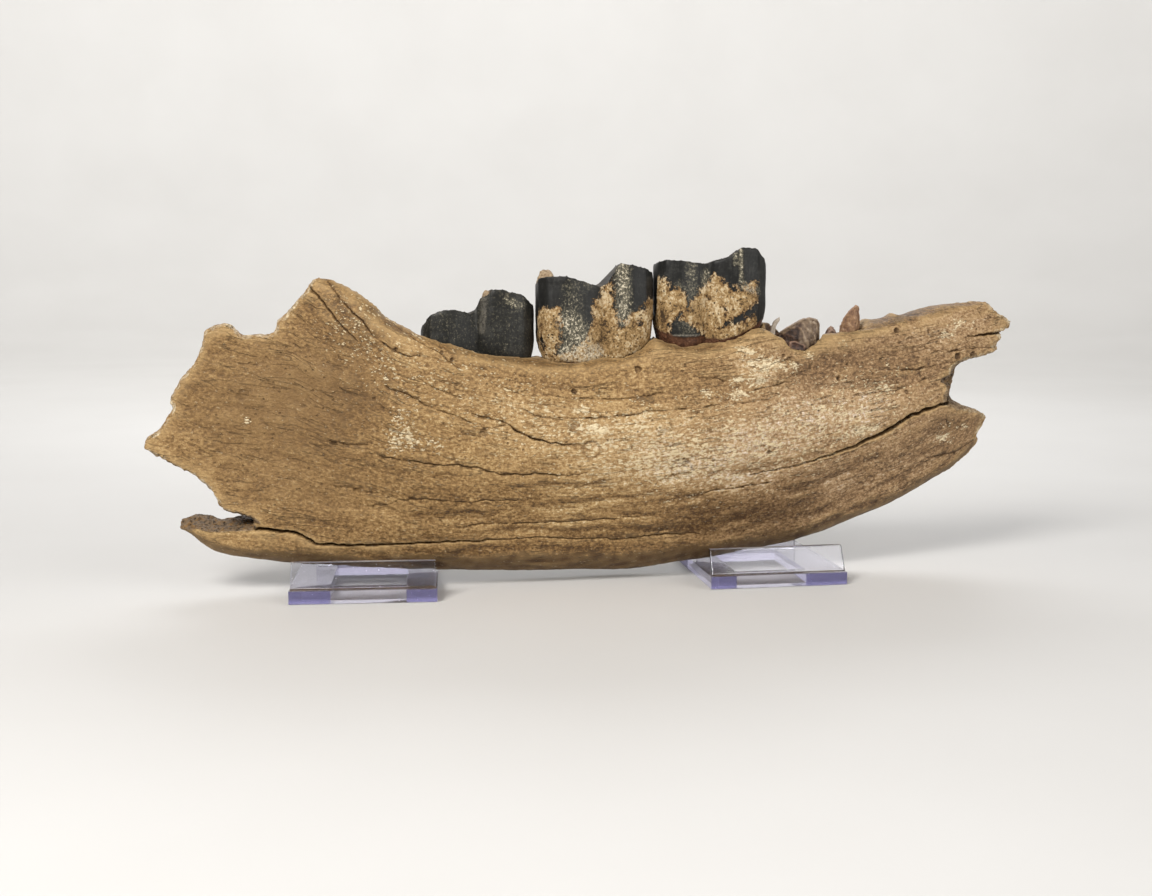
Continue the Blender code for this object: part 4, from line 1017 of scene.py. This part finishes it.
def toothMaterial():
    material, tree, place, shader = startMaterial("fossilEnamel")
    c = toothColour
    speck, worn = mark(tree, "speck"), mark(tree, "worn")
    fluting = cloud(tree, place, (1.0, 1.0, 13), 3, 0.6)
    growth = cloud(tree, place, (22, 22, 1.4), 3, 0.55)
    mottle = cloud(tree, place, (7, 7, 8), 5, 0.65)
    grit = cloud(tree, place, (1.1, 1.1, 1.1), 2, 0.75)
    tone = weighted(tree, -0.4, (fluting, 0.35), (mottle, 0.75), (growth, 0.2), (grit, 0.5))
    colour = colourRamp(tree, tone, [(0.34, c["black"]), (0.5, c["slate"]), (0.66, c["grey"])])
    # pale grains, thick in columns and thin everywhere else
    grains = cloud(tree, place, (0.95, 0.95, 1.1), 3, 0.75, shift=(4, 4, 1))
    thick = weighted(tree, grains, (speck, 0.24))
    chip = reach(tree, thick, 0.73, 0.80)
    dust = times(tree, reach(tree, thick, 0.56, 0.73), reach(tree, speck, 0.03, 0.3))
    colour = tinted(tree, colour, speck, 0.55, c["film"])
    colour = tinted(tree, colour, dust, 0.8, c["dust"])
    colour = tinted(tree, colour, chip, 0.85, c["cream"])
    # pale columns: grey-white colour, partly a painted glossy highlight
    pale = times(tree, mark(tree, "pale"), reach(tree, grit, 0.36, 0.56, 0.25, 0.9))
    colour = colourMix(tree, pale, colour, c["pale"])
    # painted highlight: a thin light rim along the sharp edges
    colour = tinted(tree, colour, mark(tree, "edge"), 0.45, c["edge"])
    # tan cement with a ragged edge, darker holes and pale grains
    edge = cloud(tree, place, (2.6, 2.6, 3.0), 4, 0.75, shift=(1, 1, 1))
    inside = weighted(tree, -6.2, (edge, 10), (grit, 4), (mark(tree, "cement"), 1))
    cementMask = reach(tree, inside, -0.4, 0.5)
    cement = colourRamp(
        tree, weighted(tree, -0.67, (grit, 0.75), (mottle, 0.9), (edge, 0.7)),
        [(0.30, c["cementDark"]), (0.42, c["cement"]), (0.55, c["cementMid"]), (0.70, c["cementLight"])],
    )
    cement = tinted(tree, cement, reach(tree, inside, 1.6, 0.3), 0.55, c["rust"])
    hole = reach(tree, dots(tree, place, (1.7, 1.7, 1.7), (2, 5, 1)), 0.28, 0.14)
    hole = times(tree, hole, reach(tree, mottle, 0.40, 0.52))
    cement = tinted(tree, cement, hole, 0.85, c["cementDark"])
    bare = times(tree, reach(tree, speck, 0.35, 1.0), reach(tree, grains, 0.42, 0.58))
    cement = tinted(tree, cement, bare, 0.75, c["cream"])
    colour = colourMix(tree, cementMask, colour, cement)
    # the root's rim, with painted contact shade where its band is thin, the worn top and the tan cusps
    rimTone = weighted(tree, times(tree, edge, 0.4), (grit, 0.6))
    rimColour = colourRamp(tree, rimTone, [(0.35, c["rootDark"]), (0.55, c["root"]), (0.72, c["rootLight"])])
    colour = colourMix(tree, mark(tree, "rootRimAndContactShade"), colour, rimColour)
    dentine = colourRamp(tree, mottle, [(0.35, c["dentineDark"]), (0.6, c["dentine"])])
    colour = tinted(tree, colour, worn, 0.75, dentine)
    cusp = colourRamp(tree, grit, [(0.35, c["cuspDark"]), (0.65, c["cusp"])])
    colour = colourMix(tree, mark(tree, "cusp"), colour, cusp)
    wire(tree, shader, {
        "Base Color": colour,
        "Roughness": weighted(tree, 0.26, (cementMask, 0.38), (mottle, 0.30), (grit, 0.12), (worn, 0.3)),
        "Specular IOR Level": 0.25,
    })
    crust = times(tree, cementMask, weighted(tree, 0.6, (grit, 1.0), (hole, -1.0)))
    enamel = weighted(tree, times(tree, growth, 0.3), (fluting, 0.6), (grit, 0.5))
    chipped = times(tree, chip, -0.8)
    addRelief(tree, shader, [(enamel, 0.20, 0.5), (crust, 0.55, 0.85), (chipped, 0.25, 0.6)])
    return material


# Broken root shells in the empty sockets. Tone is dark to pale, warm is grey to red-orange, both 0 to 1. The dark
# outlines are painted shade in hollow facets.
rootShells = {
    "root_shell_rear": {
        "tone": 0.52, "warm": 0.25, "stripes": 1.0,
        "dark": [
            [(76, 92), (78, 104), (86.5, 110.5), (85.5, 104), (84, 92)],
            [(88, 92), (90, 99.5), (97, 101.5), (98, 92)],
        ],
    },
    "root_stub": {"tone": 0.22, "warm": 0.7, "stripes": 0.3, "dark": []},
    "root_shell_front": {
        "tone": 0.58, "warm": 0.9, "stripes": 0.3,
        "dark": [[(112.6, 96), (113, 106), (116, 108), (118, 96)], [(105, 96), (107.6, 106), (108.6, 96)]],
    },
    "root_sliver": {"tone": 0.95, "warm": 0.05, "stripes": 0.0, "dark": []},
    "root_splinter": {"tone": 0.12, "warm": 0.9, "stripes": 0.0, "dark": []},
}
root = {
    "voxel": 0.36, "boxMargin": 0.01, "hollow": 0.45, "layers": 0.10, "lumps": 0.14, "pits": 0.25,
    "grey": [(0.05, (0.018, 0.011, 0.008)), (0.40, (0.085, 0.060, 0.040)), (0.70, (0.215, 0.165, 0.110)),
             (1.0, (0.44, 0.39, 0.32))],
    "warm": [(0.05, (0.022, 0.008, 0.005)), (0.40, (0.105, 0.045, 0.026)), (0.70, (0.290, 0.160, 0.078)),
             (1.0, (0.46, 0.31, 0.19))],
    "rims": [(0.42, 0.35, 0.28), (0.30, 0.165, 0.10)],  # painted highlight along the shells' thin edges: grey and warm
}


def makeRootShell(name, look, material):
    piece = evenSkin(name, name + "_fossil", root["voxel"])
    mesh = piece.data
    points = readPoints(mesh)
    points = relaxed(points, readEdges(mesh), np.full(len(points), 0.6), 4)
    writePoints(mesh, points)
    normals = readNormals(mesh)
    low, high = boxOf(name)
    # a few growth layers curve round the shell's rear foot
    radius = np.hypot(points[:, 0] - low[0] + 2, 0.8 * (points[:, 2] - low[2] + 3))
    turn = radius / 3.4 + 0.6 * swells(points, (6, 6, 9), 2)
    layers = np.clip(1.6 * np.sin(2 * np.pi * turn) - 0.4, 0, 1) * look["stripes"]
    away = distanceTo(sharpPlaces(name, 50, 0.4), points)
    front = smoothStep(0.2, 0.6, -normals[:, 1])
    lift = root["layers"] * layers + root["lumps"] * swells(points, (3, 3, 6), 2, 3.0)
    lift -= root["pits"] * smoothStep(0.2, 0.6, swells(points, 1.7, 2, 8.0))
    lift -= root["hollow"] * front * smoothStep(0.5, 1.8, away)  # hollow between its rims
    points = np.clip(points + normals * lift[:, None], low + root["boxMargin"], high - root["boxMargin"])
    writePoints(mesh, points)
    upward = (points[:, 2] - low[2]) / (high[2] - low[2])
    # painted shade in the hollow facets listed under dark: darker and warmer there
    shade = np.zeros(len(points))
    for outline in look["dark"]:
        shade = np.maximum(shade, smoothStep(-0.3, 0.6, depthInside(points[:, [0, 2]], outline)))
    # painted highlight along the thin edges, kept off the lowest part
    rim = fade(0.55, 1.2, away) * smoothStep(0.12, 0.4, upward)
    tone = look["tone"] * (1 - 0.75 * shade) + 0.22 * layers
    dressSkin(piece, name, material, {
        "tone": tone * smoothStep(-0.15, 0.35, upward),
        "warm": look["warm"] + 0.3 * shade,
        "rim": rim * (0.75 + 0.4 * swells(points, 2.5, 2, 4.0)),
    })


def rootMaterial():
    material, tree, place, shader = startMaterial("fossilRoot")
    warm = mark(tree, "warm")
    mottle = cloud(tree, place, (2.6, 2.6, 3.8), 4, 0.62)
    grit = cloud(tree, place, (0.9, 0.9, 0.9), 2, 0.7)
    tone = weighted(tree, -0.75, (mottle, 0.9), (grit, 0.6), (mark(tree, "tone"), 1.0))
    colour = colourMix(tree, warm, colourRamp(tree, tone, root["grey"]), colourRamp(tree, tone, root["warm"]))
    # painted highlight on the rims
    colour = tinted(tree, colour, mark(tree, "rim"), 0.8, colourMix(tree, warm, *root["rims"]))
    wire(tree, shader, {"Base Color": colour, "Roughness": weighted(tree, 0.38, (grit, 0.3))})
    addRelief(tree, shader, [(mottle, 0.3, 0.5), (grit, 0.12, 0.6)])
    return material


# Display stands of clear plastic, plate by plate. Outlines are looked down on, or seen from the front.
stand = {
    "width": 59.6, "depth": 76.0, "thickness": 5.2, "frontBar": 8.8, "rearBar": 24.0,
    "outerArm": 16.2, "innerArm": 12.6,
    "lipWidth": 58.2, "lipThickness": 2.2, "lipHeight": 10.4, "lipLean": 28.0, "lipInset": 0.4, "lipEdge": 0.25,
    "restThickness": 2.4, "restLean": 3.0, "restEdge": 0.3, "footGap": 0.3,
    "restOutline": [(-23, 0), (23, 0), (23, 31), (18, 48), (9, 62), (-9, 62), (-18, 48), (-23, 31)],
    "places": {
        "rear_stand": {"frontMiddle": (-103.6, -38.2), "turn": -4.5, "wideSide": -1, "restBack": 47.9},
        "front_stand": {"frontMiddle": (71.0, -37.6), "turn": 0.0, "wideSide": 1, "restBack": 50.45},
    },
    "tint": (0.93, 0.93, 0.965), "index": 1.49, "absorbed": (0.52, 0.49, 0.78), "density": 30.0,
}


def extrudedPlate(outline, thickness, edge=None):  # a flat outline carried straight up
    shape = bmesh.new()
    face = shape.faces.new([shape.verts.new((x, y, 0)) for x, y in outline])
    grown = bmesh.ops.extrude_face_region(shape, geom=[face])["geom"]
    tops = [item for item in grown if isinstance(item, bmesh.types.BMVert)]
    bmesh.ops.translate(shape, vec=(0, 0, thickness), verts=tops)
    bmesh.ops.recalc_face_normals(shape, faces=shape.faces)
    if edge:
        polishEdges(shape, edge)
    return shape


def polishEdges(shape, width):
    rims = [edge for edge in shape.edges if len(edge.link_faces) == 2 and edge.calc_face_angle() > 0.2]
    bmesh.ops.bevel(
        shape, geom=rims, offset=width, affect="EDGES", segments=2, profile=0.5, material=-1, clamp_overlap=True
    )


def leanBack(shape, degrees, start):  # a standing plate tilts back and stands on its base
    lean = math.tan(math.radians(degrees))
    for vert in shape.verts:
        vert.co.y += start + lean * vert.co.z
        vert.co.z += stand["thickness"] + stand["footGap"]


def placePlate(shape, place, node, material):
    turn = Matrix.Rotation(math.radians(place["turn"]), 4, "Z")
    shift = Matrix.Translation((*place["frontMiddle"], 0))
    bmesh.ops.transform(shape, matrix=Matrix.Scale(mm, 4) @ shift @ turn, verts=shape.verts)
    finishPiece(newPiece(node + "_clear", shape, material), node)


def makeStand(name, place, material):
    s = stand
    half, depth = s["width"] / 2, s["depth"]
    arms = (s["innerArm"], s["outerArm"])[:: place["wideSide"]]  # left and right
    base = extrudedPlate([(-half, 0), (half, 0), (half, depth), (-half, depth)], s["thickness"])
    window = {"low": (arms[0] - half, s["frontBar"]), "high": (half - arms[1], depth - s["rearBar"])}
    for axis in (0, 1):  # four cuts mark the window out, and what is inside them goes
        for end in ("low", "high"):
            at, normal = [0, 0, 0], [0, 0, 0]
            at[axis], normal[axis] = window[end][axis], 1
            everything = base.verts[:] + base.edges[:] + base.faces[:]
            bmesh.ops.bisect_plane(base, geom=everything, plane_co=at, plane_no=normal)
    inside = []
    for face in base.faces:
        middle = face.calc_center_median()
        if abs(face.normal.z) > 0.5 and all(window["low"][i] < middle[i] < window["high"][i] for i in (0, 1)):
            inside.append(face)
    bmesh.ops.delete(base, geom=inside, context="FACES")
    bmesh.ops.bridge_loops(base, edges=[edge for edge in base.edges if edge.is_boundary])
    bmesh.ops.dissolve_limit(base, angle_limit=0.01, verts=base.verts, edges=base.edges)
    bmesh.ops.recalc_face_normals(base, faces=base.faces)
    placePlate(base, place, name + "_base", material)

    side, thick = s["lipWidth"] / 2, s["lipThickness"]
    lip = extrudedPlate([(-side, 0), (side, 0), (side, thick), (-side, thick)], s["lipHeight"], s["lipEdge"])
    leanBack(lip, s["lipLean"], s["lipInset"])
    placePlate(lip, place, name + "_lip", material)

    rest = extrudedPlate(s["restOutline"], s["restThickness"], s["restEdge"])
    bmesh.ops.rotate(rest, matrix=Matrix.Rotation(math.radians(90), 3, "X"), verts=rest.verts)
    leanBack(rest, s["restLean"], s["restThickness"] + place["restBack"])
    placePlate(rest, place, name + "_back_rest", material)


def clearPlastic():
    material, tree, place, shader = startMaterial("clearAcrylic")
    smear = reach(tree, cloud(tree, place, (22, 9, 14), 4, 0.6), 0.45, 0.7)
    scratch = cloud(tree, place, (14, 0.5, 0.5), 2, 0.5, turn=(0, 0, 17))
    dust = reach(tree, dots(tree, place, (2.6, 2.6, 2.6)), 0.10, 0.05)
    wire(tree, shader, {
        "Base Color": (*stand["tint"], 1),
        "Roughness": weighted(tree, 0.025, (smear, 0.10), (dust, 0.4)),
        "IOR": stand["index"],
        "Transmission Weight": 1.0,
    })
    haze = addNode(tree, "VolumeAbsorption", {"Color": (*stand["absorbed"], 1), "Density": stand["density"]})
    wire(tree, tree.nodes["Material Output"], {"Volume": haze.outputs["Volume"]})
    addRelief(tree, shader, [(scratch, 0.02, 0.25), (dust, 0.05, 0.4)])
    return material


studio = {
    "floor": [(0, 0), (1500, 0), (1760, 30), (1960, 120), (2110, 270), (2200, 470), (2230, 700), (2240, 1500)],
    "floorDrop": 0.25, "floorSteps": 72, "floorColours": [(0.3, (0.620, 0.611, 0.598)), (0.7, (0.645, 0.637, 0.625))],
    "lights": {  # place and aim in mm, size in mm, watts, colour
        "key": ((-560, -640, 760), (0, 0, 60), (420, 420), 12.0, (1.0, 0.975, 0.94)),
        "fill": ((900, -820, 520), (20, 0, 60), (1000, 1000), 9.0, (1.0, 0.99, 0.97)),
        "back": ((120, 640, 560), (0, 0, 90), (700, 260), 2.6, (0.97, 0.98, 1.0)),
        "wall": ((0, 700, 1300), (0, 2230, 500), (1800, 400), 26.0, (1.0, 0.99, 0.97)),
    },
    "air": (0.84, 0.84, 0.84), "airStrength": 0.30,
    "eye": (-113.2, -615.6, 138.3), "eyeTurn": (82.5, 0, -9.5), "sensor": 36, "focal": 1448, "wide": 1152,
}


def makeFloor():  # a round pale sweep, open at the top
    shape = bmesh.new()
    corners = [shape.verts.new((x * mm, 0, (z - studio["floorDrop"]) * mm)) for x, z in studio["floor"]]
    line = [shape.edges.new(pair) for pair in zip(corners, corners[1:])]
    bmesh.ops.spin(
        shape, geom=corners + line, cent=(0, 0, 0), axis=(0, 0, 1), angle=2 * math.pi, steps=studio["floorSteps"],
        use_merge=True,
    )
    bmesh.ops.remove_doubles(shape, verts=shape.verts, dist=0.01 * mm)
    bmesh.ops.recalc_face_normals(shape, faces=shape.faces)
    bmesh.ops.reverse_faces(shape, faces=shape.faces)
    material, tree, place, shader = startMaterial("paleFloor")
    soft = cloud(tree, place, (160, 160, 160), 3, 0.5)
    wire(tree, shader, {"Base Color": colourRamp(tree, soft, studio["floorColours"]), "Roughness": 0.6})
    floor = newPiece("floor", shape, material)
    floor.data.shade_smooth()


def makeLights():
    for name, (place, aim, size, watts, colour) in studio["lights"].items():
        light = bpy.data.lights.new(name, "AREA")
        light.shape = "RECTANGLE"
        light.size, light.size_y = size[0] * mm, size[1] * mm
        light.energy = watts
        light.color = colour
        lamp = bpy.data.objects.new(name, light)
        lamp.location = Vector(place) * mm
        lamp.rotation_euler = (Vector(aim) - Vector(place)).to_track_quat("-Z", "Y").to_euler()
        bpy.context.scene.collection.objects.link(lamp)
    world = bpy.data.worlds.new("studio")
    world.use_nodes = True
    air = {"Color": (*studio["air"], 1), "Strength": studio["airStrength"]}
    wire(world.node_tree, world.node_tree.nodes["Background"], air)
    bpy.context.scene.world = world
    bpy.context.scene.view_settings.view_transform = "Standard"


def makeCamera():  # the photograph's view, for a picture of 1152 by 896
    camera = bpy.data.cameras.new("camera")
    camera.sensor_width = studio["sensor"]
    camera.lens = studio["sensor"] * studio["focal"] / studio["wide"]
    camera.clip_start, camera.clip_end = 0.01, 20
    eye = bpy.data.objects.new("camera", camera)
    eye.location = Vector(studio["eye"]) * mm
    eye.rotation_euler = [math.radians(each) for each in studio["eyeTurn"]]
    bpy.context.scene.collection.objects.link(eye)
    bpy.context.scene.camera = eye


makeCamera()
makeJaw(boneMaterial())
print("jaw done")
enamel = toothMaterial()
for nodeName, toothLook in toothMarks.items():
    makeTooth(nodeName, toothLook, enamel)
print("teeth done")
rootFinish = rootMaterial()
for nodeName, rootLook in rootShells.items():
    makeRootShell(nodeName, rootLook, rootFinish)
print("roots done")
acrylic = clearPlastic()
for standName, standPlace in stand["places"].items():
    makeStand(standName, standPlace, acrylic)
print("stands done")
makeFloor()
makeLights()
